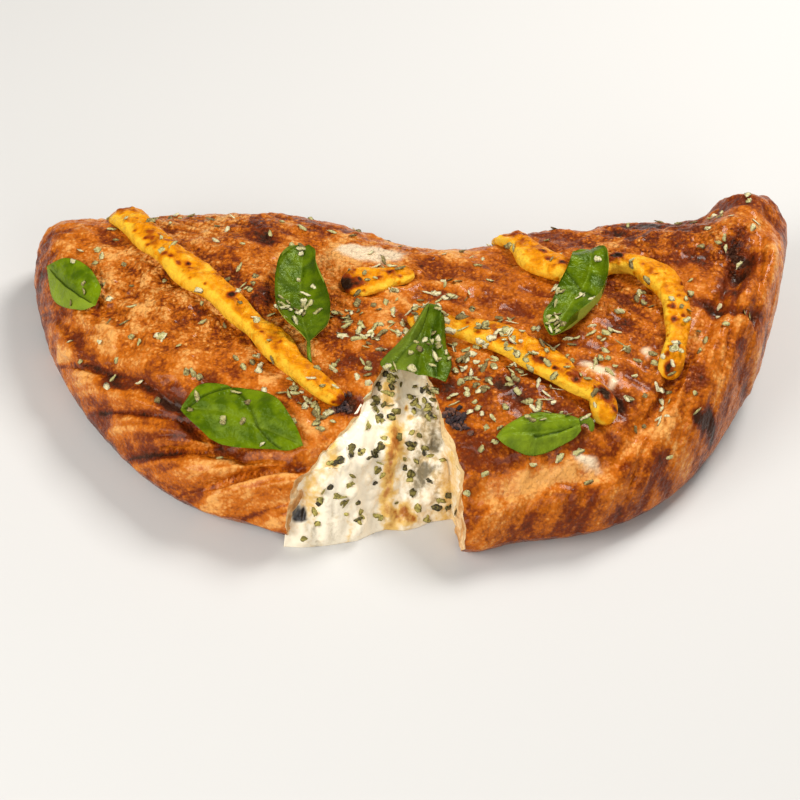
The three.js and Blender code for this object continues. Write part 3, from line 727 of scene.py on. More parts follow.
# Places where the crust has risen in fine bubbles: x, y, half widths and how bubbly.
BUBBLY = [
    (-100, 5, 38, 26, 0.9), (-85, 50, 40, 16, 0.8), (-10, 30, 26, 20, 0.6), (88, 50, 30, 16, 0.8),
    (84, 5, 16, 16, 0.6), (-75, -22, 22, 14, 0.5), (122, 38, 10, 12, 0.6), (-40, -20, 22, 22, 0.4),
    (98, -30, 8, 16, 0.6), (35, -40, 14, 12, 0.4),
]


def fold_distance(x, y, route):
    """How far each place lies from a route over the loaf, in plan, and a share from 0.15 at the route's ends
    to 1 along its middle."""
    line, _, _ = curve_through(route, 48)
    gaps = np.hypot(x[:, None] - line[:, 0], y[:, None] - line[:, 1])
    at = gaps.argmin(1) / (len(line) - 1)
    return gaps.min(1), np.minimum(1, 6 * at * (1 - at) + 0.15)


def fold_height(x, y):
    """The sum of all folds: each a bell of the distance to its route, fading at both ends."""
    wander = 0.9 * noise(np.stack([x, y, 0 * x], 1), *FOLD_WANDER)
    total = np.zeros(len(x))
    for route, width, height, _ in FOLDS:
        distance, share = fold_distance(x, y, route)
        total += height * share * bell(distance + wander, 0, width)
    return total


def on_top(z):
    """0 up to the widest level and 1 well above it, which keeps what lies on the top off the underside."""
    return smooth(WIDEST_Z, WIDEST_Z + 12, z)


def rolled_rim(points):
    """1 on the rolled rim, 0 on the panel behind it, smooth across the seam."""
    x, y = points[:, 0], points[:, 1]
    return 1 - smooth(seam_at(x) - 4, seam_at(x) + 4, rim_distance(x, y))


def wrinkles(points):
    """Wrinkles with sharp crests, about -1 to 1: 1 - 2.6 |n| of a noise drawn out aslant along the loaf."""
    x, y, z = points.T
    drawn_out = np.stack([0.45 * x - 0.18 * y, 0.37 * x + 0.93 * y, 0.6 * z], 1)
    return 1 - 2.6 * np.abs(layered_noise(drawn_out, *WRINKLES))


def bubbly_share(points):
    """Where the crust carries fine bubbles, from 0 to 1."""
    x, y = points[:, 0], points[:, 1]
    share = spots_at(BUBBLY, x, y, noise(points, *BUBBLY_EDGES)) * (1 - 0.75 * rolled_rim(points))
    return np.clip(0.12 + share, 0, 1)


def pleat_streaks(points):
    """Layered noise drawn out along the pleats of the rim, which it follows like the strands of a rope."""
    x, y, z = points.T
    inward = round_rim(x, y, z)
    along_pleats = np.stack([pleat_turn(x, inward) * 25, inward * 0.3, z * 0.1], 1)
    return layered_noise(along_pleats, *STREAKS)


def baked_skin(points, triangles):
    """The loaf's skin with what the oven did to it, moved along its normals: crinkles and bubbles on the
    panel, and streaks that follow the pleats on the rim."""
    x, y, z = points.T
    rim = rolled_rim(points)
    streaks = 0.5 * pleat_streaks(points) * np.where(x < 0, 1.3, 0.8)
    crinkles = 0.4 * layered_noise(points, *CRINKLES) + 0.3 * noise(points, *FINE_CRINKLES)
    crinkles += 0.7 * (wrinkles(points) - 0.3)
    bubbly = bubbly_share(points)
    bubbles = 0.9 * bubbly * blisters(points, *LARGE_BUBBLES)
    bubbles += 0.45 * (0.3 + 0.7 * bubbly) * blisters(points, *SMALL_BUBBLES)
    rise = rim * (streaks + 0.35 * crinkles) + (1 - rim) * crinkles + bubbles - 0.4
    underside = 1 - smooth(2, WIDEST_Z, z)
    rise += fold_height(x, y) * on_top(z) + spots_at(SHOULDERS, x, y)
    moved = points + point_normals(points, triangles) * (rise * (1 - 0.8 * underside))[:, None]
    moved[:, 2] = np.maximum(moved[:, 2], 0)
    return moved


def loaf_skin():
    """The closed skin of the loaf: the top crust over a plan grid whose columns crowd towards the tips and
    rows towards the edges, and the underside, flat but for its rounded edge."""
    u, v = grid_shares(LOAF_COLUMNS, LOAF_ROWS)
    x = MIDDLE_X - HALF_LENGTH * (0.7 * np.cos(np.pi * u) + 0.3 * (1 - 2 * u))
    front, back = edges_at(x)
    across = -np.cos(np.pi * v)
    share = (1 + across) / 2
    y = (front + back + (back - front) * across) / 2
    x_top = x + 0 * y
    z = crust_height(x_top, y)
    fade = (1 - smooth(0.05, 0.3, np.arccos(1 - 2 * share) / np.pi)) * smooth(0, 0.04, share)
    push = PLEAT_PUSH * pleat(x_top, round_rim(x_top, y, z)) * fade * round_end(x_top)
    upper = np.stack([x_top, y + push, z], -1)
    across = -np.cos(np.pi * grid_shares(LOAF_COLUMNS, UNDERSIDE_ROWS)[1])
    y = (front + back + (back - front) * across) / 2
    dip = np.sqrt(1 - np.abs(across) ** UNDERSIDE_SQUARENESS) * round_end(x)
    z = lift_at(x) + WIDEST_Z * np.maximum(1 - 1.2 * dip, 0)
    lower = np.stack([x + 0 * y, y, z + 0 * y], -1)
    points, triangles, _ = closed_sheets(upper, lower)
    return points, triangles


def wedge_outline(margin, count):
    """Points round the wedge, counterclockwise from its back left corner: down the left cut and up the right
    one, with a margin that shrinks it."""
    y_left = np.linspace(WEDGE_BACK_Y - margin, LEFT_CUT[-1, 1], count)
    left = np.stack([cut_at(LEFT_CUT, y_left) + 1.5 * margin, y_left], 1)
    y_right = y_left[::-1]
    right = np.stack([cut_at(RIGHT_CUT, y_right) - 1.5 * margin, y_right], 1)
    return np.concatenate([left, right])


def wedge_tool(margin, raggedness, material):
    """The space between the cuts as a closed prism, its walls made ragged by a noise."""
    outline = wedge_outline(margin, CUT_STEPS)
    heights = np.concatenate([[-10.0], np.linspace(-1, WEDGE_TOP, CUT_LEVELS)])
    count = len(outline)
    ring = np.repeat(outline[None], len(heights), 0)
    points = np.concatenate([ring, np.repeat(heights[:, None, None], count, 1)], 2).reshape(-1, 3)
    points[:, 0] += raggedness * layered_noise(points, *RAGGED_X)
    points[:, 1] += raggedness * 0.6 * layered_noise(points, *RAGGED_Y) * (points[:, 1] > LEFT_CUT[-1, 1] + 1)
    number = np.arange(len(heights) * count).reshape(-1, count)
    number = np.concatenate([number, number[:, :1]], 1)
    walls = [wall_triangles(number[row + 1], number[row]) for row in range(len(heights) - 1)]
    caps = ladder_triangles(number[0, :-1])[:, ::-1], ladder_triangles(number[-1, :-1])
    return new_object("wedge_tool", points, np.concatenate([*walls, *caps]), material)


def ladder_triangles(loop):
    """Fills a loop of points that runs down one side and up the other with rungs between the two sides."""
    half = len(loop) // 2
    left, right = loop[:half], loop[half:][::-1]
    a, b, c, d = left[:-1], left[1:], right[1:], right[:-1]
    return np.concatenate([np.stack([a, b, c], 1), np.stack([a, c, d], 1)])


def hollow_tool(margin, material):
    """The hollow between the two sheets of dough, as a closed form."""
    u, v = grid_shares(HOLLOW_COLUMNS, HOLLOW_ROWS)
    x = HOLLOW_LEFT + margin + (HOLLOW_RIGHT - HOLLOW_LEFT - 2 * margin) * u
    front = front_curve(x) + FRONT_WALL * slant(x) + margin
    y = front + (back_curve(x) - BACK_WALL - margin - front) * v
    x = x + 0 * y
    upper = np.stack([x, y, crust_height(x, y) - SHEET - margin], -1)
    lower = np.stack([x, y, BASE_SHEET + margin + 0 * x], -1)
    points, triangles, _ = closed_sheets(upper, lower)
    return new_object("hollow_tool", points, triangles, material)


def crust_marks(mesh):
    """What the dough's materials read at each point, worked out from its place alone: how far it is baked,
    with painted shade in the rim's pleats, the wrinkles, the left seam and the sunken folds and painted light
    on their raised parts, how bubbly it is, where cheese has leaked through and where cheese coats the cut."""
    points = read_points(mesh)
    x, y, z = points.T
    rim, on_left, right_half = rolled_rim(points), x < 0, smooth(10, 45, x)
    breakup = layered_noise(points, *BREAKUP)
    baked = 0.39 + 0.1 * layered_noise(points, *CLOUDS) + 0.11 * layered_noise(points, *PATCHES)
    # Painted shade in the valleys of the wrinkles and painted light on their crests; darker over the right
    # half, less so on its rim.
    baked += 0.06 * breakup - 0.11 * (wrinkles(points) - 0.3) + (0.11 - 0.05 * rim) * right_half
    baked += spots_at(ROASTED, x, y, breakup) - spots_at(PALE, x, y, breakup)
    # Painted shade in the pleat valleys and along the sunken streaks of the rolled rim, painted light along
    # its raised streaks.
    valley = smooth(0.35, 0.95, pleat(x, round_rim(x, y, z)))
    baked += rim * np.where(on_left, 1, 0.55) * (0.28 * valley - 0.03 - 0.26 * pleat_streaks(points))
    # Darker towards the bottom, and low on the rim.
    baked += 0.12 * (1 - smooth(1, 12, z)) + 0.1 * rim * (1 - smooth(8, 22, z))
    # Painted shade along the sunken seam on the left; paler along the torn seam on the right.
    seam = bell(rim_distance(x, y), seam_at(x), 3) * smooth(20, 35, np.abs(x)) * (0.8 + 0.6 * breakup)
    baked += seam * np.where(on_left, 0.3, -0.3 * (1 - smooth(80, 95, x)))
    # Painted shade along the sunken folds and painted light along the raised ones.
    for route, width, _, darker in FOLDS:
        distance, share = fold_distance(x, y, route)
        baked += darker * share * bell(distance + 0.7 * breakup, 0, width) * on_top(z)
    mark(mesh, "baked", baked)
    mark(mesh, "coated", smooth(*COATED_FROM_Y, y) * (0.85 + 0.15 * breakup))
    mark(mesh, "bubbly", bubbly_share(points))
    mark(mesh, "leaked", spots_at(LEAKED, x, y, 0.3 * breakup) * on_top(z))


def make_crust():
    """The folded dough, cut open and hollow, with its cut faces in crumb."""
    points, triangles = loaf_skin()
    crust = new_object("baked_crust", baked_skin(points, triangles), triangles, baked_dough())
    inside = crumb()
    carve(crust, hollow_tool(0, inside), "DIFFERENCE")
    carve(crust, wedge_tool(0, CUT_RAGGEDNESS, inside), "DIFFERENCE")
    crust.data.set_sharp_from_angle(angle=CUT_EDGE_ANGLE)
    crust_marks(crust.data)
    return finish_piece(crust, "crust", "crust")


# ---- The filling ----

FLOW_COLUMNS, FLOW_ROWS, OVERLAP = 150, 150, 1.0

# Noises of the filling: the size of their lumps in millimetres and the seed of their numbers.
LARGE_LUMPS, SMALL_LUMPS, FINE_LUMPS, DRAWN_LUMPS = (13, 70), (7, 71), (3, 72), (6, 74)
FILLING_BREAKUP = (4, 80)

# Lumps on the slope and, below zero, dents: x, y, half widths and height.
SLOPE_LUMPS = [
    (-28, -88, 5, 3, 2.2), (15, -72, 5, 4, 1.8), (9, -64, 4, 4, -2), (-36.5, -91.5, 3.4, 2.2, 3),
    (-20, -86, 3, 3, 1.6), (-39.3, -87.8, 2.4, 1.8, -3.4),
]

# How far the cheese on the slope is baked, from cream: x, y, half widths and strength.
FRIED = [
    (-10, -50, 2, 5, 0.26), (-5.5, -60.5, 3.4, 6, 0.5), (-6.6, -68, 2, 4.5, 0.46),
    (-8, -74.5, 2.3, 4, 0.44), (-5.6, -79, 2.8, 2, 0.46), (0.5, -77.5, 3.4, 2.4, 0.56),
    (-3.5, -77.5, 0.9, 0.7, 0.3), (3, -77.5, 0.9, 0.7, 0.3), (-35.5, -83.5, 3.5, 5.5, 0.3),
    (-29, -75, 3, 5, 0.28), (14, -74, 5, 4, 0.17), (17, -66, 3, 8, 0.22), (6, -61, 7, 12, 0.18),
    (-26.5, -77, 1.6, 1.6, 0.2), (-2.5, -50, 0.9, 0.9, 0.6), (-1, -53, 1, 1, 0.4), (-21, -87, 0.9, 3, 0.2),
    (-9, -46, 4, 3, 0.2), (8, -44, 3, 4, 0.3),
]

# Where it is wet and grey: x, y, half widths and strength.
WET = [
    (9.5, -63, 2.2, 2.2, 0.8), (3, -51, 5, 3, 0.65), (6, -58, 5, 5, 0.36), (6.5, -69.5, 3.2, 1.6, 0.85),
    (3, -66, 3, 3, 0.4), (3, -72, 4, 2, 0.5), (11, -70, 2, 3, 0.36), (-28, -88, 5, 4, 0.3),
    (-33, -91, 2, 2, 0.4), (12, -55, 3, 6, 0.34), (5, -62, 7, 9, 0.3),
]

# Painted shadow, near black, in the gap beside the cut: x, y, half widths and strength.
GAP_SHADOWS = [(-39.6, -88.2, 3.2, 2.1, 1.4)]


def flow_front(x):
    """y to which the filling has run forward: further on the left."""
    return np.interp(x, *FLOW.T)


def filling_height(x, y):
    """z of the filling: 1 - (1 - share)^n of the crest, where the share runs from the flow's front to the
    back of the cut, plus lumps that fade at both ends, and never above the edge of the crust."""
    front = flow_front(x)
    back = np.clip((y - front) / (WEDGE_BACK_Y - front), 0, 1)
    slope = 1 - (1 - back) ** (2.3 + 4.5 * smooth(5, 28, -x) + 3 * smooth(0, 14, x))
    lumps = 1.5 * np.sin(x / 4.3 + 1) * np.sin(y / 5.2 + x / 15) + 2.4 * bell(x, -8, 3.5)
    lumps += 1.2 * spot(x, y, -24, -80, 8, 8) - smooth(6, 18, x)
    rise = (FILLING_CREST - FILLING_EDGE) * slope + lumps * 4 * slope * (1 - 0.75 * slope)
    edge = np.minimum(x - cut_at(LEFT_CUT, y), cut_at(RIGHT_CUT, y) - x)
    brim = crust_height(x, y) - 0.4 + 1.2 * smooth(0, 9, edge)
    return np.maximum(np.minimum(FILLING_EDGE + rise, brim), FILLING_EDGE)


def grid_normals(grid):
    """Unit normals of a grid of points: the cross product of its steps along columns and rows."""
    normal = np.cross(np.gradient(grid, axis=0), np.gradient(grid, axis=1))
    return normal / np.maximum(np.linalg.norm(normal, axis=-1, keepdims=True), 1e-9)


def melted_slope():
    """The slope of melted cheese between the cuts as a closed form: the filling's height with a rounded foot,
    moved along its normals by soft lumps of two sizes and fine wrinkles."""
    u, v = grid_shares(FLOW_COLUMNS, FLOW_ROWS)
    x = 0 * u * v
    for _ in range(4):
        y = flow_front(x) + (WEDGE_BACK_Y + 1 - flow_front(x)) * v
        left, right = cut_at(LEFT_CUT, y) - OVERLAP, cut_at(RIGHT_CUT, y) + OVERLAP
        x = left + (right - left) * u
    foot = np.clip((y - flow_front(x)) / 2.5, 0, 1)
    z = filling_height(x, y) * np.sqrt(1 - (1 - foot) ** 2)
    grid = np.stack([x, y, z], -1)
    flat = grid.reshape(-1, 3)
    lumps = 3 * blisters(flat, *LARGE_LUMPS) + 1.1 * blisters(flat, *SMALL_LUMPS) - 1.2
    lumps += 0.12 * layered_noise(flat, *FINE_LUMPS) + 1.1 * layered_noise(flat * (1, 0.3, 0.3), *DRAWN_LUMPS)
    lumps = lumps.reshape(x.shape) + spots_at(SLOPE_LUMPS, x, y) + 1.2 * bell(x, RIDGE_X, 2)
    lumps = lumps * np.minimum(z / 5, 1)
    inside = smooth(0, 0.05, u) * smooth(0, 0.05, 1 - u) * smooth(0, 0.04, 1 - v)
    upper = grid + grid_normals(grid) * (lumps * (0.3 + 0.7 * inside))[..., None]
    new_x, new_y, new_z = np.moveaxis(upper, -1, 0)
    within = np.minimum(new_x - cut_at(LEFT_CUT, new_y), cut_at(RIGHT_CUT, new_y) - new_x)
    ceiling = crust_height(new_x, new_y) - 1.2 + 2.4 * smooth(-0.5, 5, within)
    upper[..., 2] = np.maximum(np.minimum(new_z, ceiling), 0.3)
    lower = np.stack([x, y, 0 * x], -1)
    points, triangles, _ = closed_sheets(upper, lower)
    return points, triangles


def melted_cheese():
    """The filling: cream, golden to brown where it has fried, grey with a green tinge where it is wet, and
    near black in the gap beside the cut, a painted shadow.
    """
    material, wire, shader, place_on = new_material("melted_cheese", Roughness=0.3, IOR=1.45)
    patches = mottle(wire, place_on, size=0.007, detail=3.0, low=0.35, high=0.7)
    grain = mottle(wire, place_on, size=0.0018, detail=3.0, low=0.3, high=0.7)
    fried = wire.plus(wire.sway(read_mark(wire, "fried"), grain, 0.14), patches, 0.1)
    wet = wire.sway(read_mark(wire, "wet"), grain, 0.3)
    colour = wire.blend(wire.between(wet, 0.15, 1.0), toasted(wire, fried, MELTED), WET_CHEESE)
    # Painted shadow, near black, in the gap beside the cut.
    colour = wire.blend(wire.between(read_mark(wire, "gap_shadow"), 0.35, 0.8), colour, PAINTED_GAP_SHADOW)
    finish_surface(wire, shader, colour, wire.plus(patches, grain, 0.3), depth=0.0003)
    return material


def make_filling():
    """The melted filling: the slope in the cut, joined to what lies between the two sheets of dough."""
    cheese = melted_cheese()
    filling = new_object("melted_filling", *melted_slope(), cheese)
    core = hollow_tool(GAP, cheese)
    carve(core, wedge_tool(0, 0, cheese), "DIFFERENCE")
    carve(filling, core, "UNION")
    points = read_points(filling.data)
    x, y, _ = points.T
    breakup = layered_noise(points, *FILLING_BREAKUP)
    mark(filling.data, "fried", spots_at(FRIED, x, y, 0.25 * breakup))
    mark(filling.data, "gap_shadow", np.clip(spots_at(GAP_SHADOWS, x, y, 0.3 * breakup), 0, 1))
    mark(filling.data, "wet", np.clip(spots_at(WET, x, y, 0.4 * breakup), 0, 1))
    return finish_piece(filling, "filling", "filling")


# ---- Strands of baked cheese ----

# Each strand's route over the crust, its widths along it and its thickness.
STRANDS = {
    "cheese_strand_1": {
        "route": [
            (-128, 57), (-110, 30), (-92, 9), (-74, -8), (-60, -23), (-48, -38), (-35.5, -50.5),
            (-26.5, -57),
        ],
        "widths": (12, 14, 12.5, 11, 9.5),
        "thickness": 7,
    },
    "cheese_strand_2": {
        "route": [(-31, 5), (-24, 8), (-16, 10.5), (-3, 16)],
        "widths": (13.5, 13, 10),
        "thickness": 5,
    },
    "cheese_strand_3": {
        "route": [
            (-4.5, -10.5), (8.5, -13), (24, -17), (35.5, -21), (48.5, -30), (60.5, -41), (69.5, -44.5),
            (72, -49), (71.5, -56),
        ],
        "widths": (10, 13, 14, 12.5, 8.5),
        "thickness": 6,
    },
    "cheese_strand_4": {
        "route": [
            (31.5, 60), (39.5, 45), (49, 28), (61, 22), (75, 29), (87, 27.5), (95.5, 18.5), (100.5, 4),
            (100, -15), (96.5, -32),
        ],
        "widths": (13, 14.5, 12, 12, 11, 8.5),
        "thickness": 6.5,
    },
}
STRAND_ROWS, STRAND_STEP = 36, 0.5

# Noises of the strands: the size of their lumps in millimetres and the seed, for the first strand.
STRAND_CRINKLES, STRAND_BLISTERS, STRAND_BREAKUP = (5, 90), (5, 95), (5, 100)

# Browned places on the strands: x, y, half widths and strength.
BROWNED = [
    (-128, 55, 6, 5, 0.32), (-26, -58, 4, 3, 0.7), (-31, 4, 4, 6, 0.9), (-25, 4, 5, 2, 0.3),
    (-5, -10, 6, 4, 0.4), (72, -46, 3, 3, 0.6), (33, 58, 5, 5, 0.3), (67, 27, 6, 5, 0.3),
    (48, -31, 4, 3, 0.2), (60, -40, 4, 3, 0.2),
]

# Burst blisters on the strands: x, y, radius and strength.
BURST = [
    (-117, 32.5, 1.2, 0.4), (-112, 27, 1, 0.35), (-110.5, 23, 1.2, 0.45), (-107, 20, 0.9, 0.35),
    (-103, 16, 1.4, 0.45), (-100, 14.5, 0.9, 0.4), (-96.5, 11, 1.3, 0.45), (-91.5, 7.5, 1, 0.4),
    (-93, 11, 0.8, 0.35), (-73.5, -6.5, 1.7, 0.75), (-62, -18, 0.9, 0.3), (-52, -32, 1, 0.35),
    (-17, 9, 1.2, 0.4), (-12.5, 12.5, 1.2, 0.5), (-8, 11, 1.1, 0.4), (23, -20, 1.2, 0.4),
    (31, -20.5, 0.9, 0.3), (35.5, -24.5, 1.3, 0.5), (48, -32, 1.3, 0.4), (53, -37, 1.3, 0.4),
    (61, -42, 1.5, 0.45), (37.5, 50, 2.2, 0.35), (48, 33, 1.6, 0.6), (50, 27, 1.3, 0.5), (56, 24, 1.5, 0.5),
    (78, 30, 2, 0.75), (93, 19, 1.1, 0.4), (88, 25, 0.9, 0.3), (98.5, 0, 1.4, 0.5), (99, -7, 1.7, 0.6),
    (95.5, -25, 1.3, 0.6), (96.5, -29.5, 1.7, 0.65), (101, 6, 0.9, 0.3),
]


def strand_skin(strand, seed):
    """A strand as a closed form: half of a squarish ellipse above and half below its route, round at both
    ends and uneven in width, with wrinkles and blisters on top, at most half a millimetre in the crust."""
    _, _, length = curve_through(strand["route"], 2)
    columns = int(length / STRAND_STEP)
    centre, direction, _ = curve_through(strand["route"], columns + 1)
    u, v = grid_shares(columns, STRAND_ROWS)
    half = np.interp(u, np.linspace(0, 1, len(strand["widths"])), strand["widths"]) / 2
    ends = np.sqrt(1 - np.abs(2 * u - 1) ** (length / half))
    uneven = 1 + 0.09 * np.sin(u * length / 4.3) + 0.13 * np.sin(u * length / 8.3 + seed)
    across = -np.cos(np.pi * v) * half * ends * uneven
    x = centre[:, :1] - direction[:, 1:] * across
    y = centre[:, 1:] + direction[:, :1] * across
    bed = crust_height(centre[:, :1], centre[:, 1:])
    rise = np.sin(np.pi * v) ** 0.75 * ends * strand["thickness"] / 2 * (1 + 0.1 * np.sin(u * length / 3.4))
    level = bed + 0.22 * strand["thickness"]
    upper = np.stack([x, y, level + rise], -1)
    flat = upper.reshape(-1, 3)
    crinkle_noise, blister_noise = (np.add(first, (0, seed)) for first in (STRAND_CRINKLES, STRAND_BLISTERS))
    crinkles = 0.75 * layered_noise(flat, *crinkle_noise) + 0.9 * blisters(flat, *blister_noise) - 0.4
    upper = upper + grid_normals(upper) * (crinkles.reshape(rise.shape) * np.sin(np.pi * v) * ends)[..., None]
    lower = np.stack([x, y, np.maximum(level - rise, crust_height(x, y) - 0.5)], -1)
    side = np.broadcast_to(-np.cos(np.pi * v), rise.shape)
    marks = {"side": np.concatenate([side.ravel(), side.ravel()])}
    return closed_sheets(upper, lower, marks)


def baked_cheese():
    """The strands: yellow cheese, browned in blisters and at their ends, paler along their near side."""
    material, wire, shader, place_on = new_material(
        "baked_cheese", IOR=1.46, Specular_IOR_Level=0.2, Specular_Tint=(1, 0.7, 0.3, 1),
    )
    fine = mottle(wire, place_on, size=0.003, detail=3.0, low=0.3, high=0.7)
    spots = wire.group(BUBBLES, Vector=place_on, Size=0.006, Warp=0.003)[0]
    holes = wire.group(BUBBLES, Vector=place_on, Size=0.0028, Warp=0.0012)[0]
    level = wire.sway(read_mark(wire, "baked"), fine, 0.22)
    colour = toasted(wire, wire.plus(level, wire.between(spots, 0.76, 0.95), 0.34), STRAND)
    height, roughness = wire.plus(fine, holes, 0.5), wire.plus(0.28, fine, 0.25)
    finish_surface(wire, shader, colour, height, depth=0.0006, roughness=roughness)
    return material


def make_strands():
    """The four strands of cheese that melted and baked on top of the crust."""
    cheese = baked_cheese()
    made = []
    for seed, (node, strand) in enumerate(STRANDS.items()):
        points, triangles, marks = strand_skin(strand, seed)
        x, y, _ = points.T
        breakup = layered_noise(points, *STRAND_BREAKUP)
        baked = 0.35 + 0.19 * breakup - 0.26 * smooth(0.35, 0.8, -marks["side"]) + 0.03 * smooth(0, 30, x)
        burst = spots_at([(at_x, at_y, size, size, strength) for at_x, at_y, size, strength in BURST], x, y)
        marks["baked"] = baked + spots_at(BROWNED, x, y, 0.3 * breakup) + burst
        name = node.replace("cheese_strand", "baked_strand")
        made.append(finish_piece(new_object(name, points, triangles, cheese, marks), "cheese_strand", node))
    return made


# ---- Basil leaves ----

# Each leaf: its midrib in plan from stem to point, half widths to its left and right at the STATIONS, how
# much painted light, in the underside's pale green, its left and right side show on top, how deep its green
# is, how far its edges curl up (or down, where below zero), how far its point lifts, how far its left and
# right side slope up and how far their outer parts stand up, the number of pairs of veins, humps (along,
# across, half widths and height) and creases as lines (along, across).
LEAVES = {
    "basil_leaf_1": {
        "midrib": [(-127, -7.5), (-138.5, 3), (-151, 18.5)],
        "left": (0, 3.5, 4.9, 5.6, 5.5, 4.7, 3, 1.3, 0),
        "right": (0, 5.5, 7.7, 8.7, 8.7, 8, 5.1, 1.6, 0),
        "pale": (0.35, 0), "deep": 0, "curl": 0, "lift": 2,
        "sides": (-1, 2), "standing": (0, 0), "veins": 4,
        "humps": [(0.3, -0.6, 0.2, 0.3, 1)], "creases": [[(0.1, 0.05), (0.9, 0.1)]],
    },
    "basil_leaf_2": {
        "midrib": [(-41, -35.5), (-41.6, -30), (-44.6, -18), (-47, -1), (-48, 25.5)],
        "left": (0.6, 0.8, 7.6, 9.8, 10, 9.6, 8.6, 5.2, 1.5),
        "right": (0.6, 0.8, 8.8, 10.6, 9.9, 7.8, 5.6, 4.8, 2.2),
        "pale": (0, 0), "deep": 0.32, "curl": 2.5, "lift": 3.5,
        "sides": (0, 0), "standing": (2, 1.5), "veins": 5,
        "humps": [(0.68, 0.2, 0.08, 0.8, -0.8)], "creases": [],
    },
    "basil_leaf_3": {
        "midrib": [(-87, -58), (-66.5, -64), (-50.5, -70.5), (-39.5, -76)],
        "left": (0.7, 8.3, 11.3, 12.4, 13, 11.2, 7, 3.1, 0),
        "right": (0.9, 4.6, 7.6, 9.8, 10, 8.3, 6, 4.1, 0),
        "pale": (0, 0), "deep": 0.15, "curl": 0, "lift": 1.5,
        "sides": (0, 2.5), "standing": (0, 0), "veins": 5,
        "humps": [(0.35, 0.1, 0.2, 0.5, 1.6), (0.65, 0.6, 0.15, 0.35, 1.4)],
        "creases": [[(0.31, 1), (0.85, -0.8)], [(0.31, 1), (0.03, 0)]],
    },
    "basil_leaf_4": {
        "midrib": [(4, -9), (2.5, -24), (1, -45)],
        "left": (0.3, 4.4, 6.6, 8.1, 9, 11, 12, 11.7, 11),
        "right": (0.3, 1.5, 3, 5, 7.3, 10, 13.4, 14.8, 12.8),
        "pale": (0, 0.3), "deep": 0.45, "curl": -2, "lift": 0,
        "sides": (0, 1.5), "standing": (0, 0), "veins": 4,
        "humps": [(0.45, -0.6, 0.3, 0.25, 2.5), (0.72, -0.05, 0.16, 0.3, 3), (0.35, 0.75, 0.3, 0.2, 2.2),
                  (0.35, 0.15, 0.16, 0.3, -1.6)],
        "creases": [[(0.12, -0.1), (0.5, -0.3), (0.9, -0.62)], [(0.3, 0.35), (0.6, 0.45), (0.95, 0.6)]],
    },
    "basil_leaf_5": {
        "midrib": [(67, 32), (66, 17), (59, 0), (51, -20)],
        "left": (3, 5.5, 7, 8.6, 9.8, 9.3, 7.5, 4.4, 0.9),
        "right": (4, 7, 8, 8, 8, 6.9, 7.4, 4.5, 0.6),
        "pale": (0, 0), "deep": 0.2, "curl": 1.5, "lift": 1,
        "sides": (0, 0), "standing": (7.5, 1), "veins": 5,
        "humps": [(0.25, 0, 0.15, 0.6, -0.6)], "creases": [[(0.36, -0.9), (0.42, 0), (0.45, 0.7)]],
    },
    "basil_leaf_6": {
        "midrib": [(62.5, -60), (50, -64.5), (31.5, -68.5)],
        "left": (2, 3.4, 4.4, 5.2, 5.7, 5.9, 5, 3, 0),
        "right": (3, 5.8, 7.4, 8.2, 8, 7.4, 5.6, 2.9, 0),
        "pale": (0.18, 0.12), "deep": 0, "curl": -2.2, "lift": 0.5,
        "sides": (0, 0), "standing": (0, 0), "veins": 4,
        "humps": [(0.4, 0.5, 0.25, 0.12, 0.8), (0.45, -0.35, 0.3, 0.12, 1), (0.4, -0.8, 0.25, 0.12, 0.7),
                  (0.75, 0.3, 0.1, 0.2, 0.6)],
        "creases": [[(0.1, 0.1), (0.55, 0.2)]],
    },
}
STATIONS = (0, 0.08, 0.2, 0.35, 0.5, 0.65, 0.8, 0.92, 1)
LEAF_THICKNESS, LEAF_CLEARANCE, LEAF_SPAN, CREASE_WIDTH = 0.9, 1.9, 2.5, 0.65
LEAF_COLUMNS, LEAF_ROWS = 120, 60
STALK_COLUMNS, STALK_ROWS = 60, 8

# Stalks: the leaf they belong to, a route through space with z above the crust, and half the thickness.
STALKS = {
    "basil_leaf_2": ([(-41.5, -29, 2.2), (-41, -34, 1.6), (-40, -39, 0.8)], 0.8),
    "basil_leaf_6": ([(61, -59.5, 2.4), (64, -57.5, 3.4), (66.5, -58, 3.6), (67.5, -60.5, 2.4)], 1.5),
}


def bed_height(x, y):
    """What a leaf lies on: the mean of nine heights of the crust round a place, raised in a soft hump over
    each strand."""
    steps = (-LEAF_SPAN, 0, LEAF_SPAN)
    spanned = sum(crust_height(x + dx, y + dy) for dx in steps for dy in steps) / 9
    hump = 0 * x
    for strand in STRANDS.values():
        route, _, _ = curve_through(strand["route"], 80)
        distance = np.hypot(x[..., None] - route[:, 0], y[..., None] - route[:, 1]).min(-1)
        hump = np.maximum(hump, (strand["thickness"] + 0.5) * bell(distance, 0, 9))
    return spanned + hump


def side_width(along, widths, length):
    """Half width of a side of a leaf, a smooth curve through its widths at the STATIONS."""
    curve, _, _ = curve_through(np.stack([np.multiply(STATIONS, length), widths], 1), 400)
    return np.interp(along * length, curve[:, 0], np.maximum(curve[:, 1], 0))


def crease_depth(along, across, creases, length):
    """1 in a leaf's creases, falling as a bell of the distance to their lines."""
    depth = 0 * along * across
    for stops in creases:
        share = np.linspace(0, len(stops) - 1, 40)
        line_u, line_v = (np.interp(share, range(len(stops)), ends) for ends in zip(*stops))
        gap_u = (along[..., None] - line_u) * length
        gap_v = (across[..., None] - line_v) * length / 5
        depth = np.maximum(depth, bell(np.hypot(gap_u, gap_v).min(-1), 0, CREASE_WIDTH))
    return depth


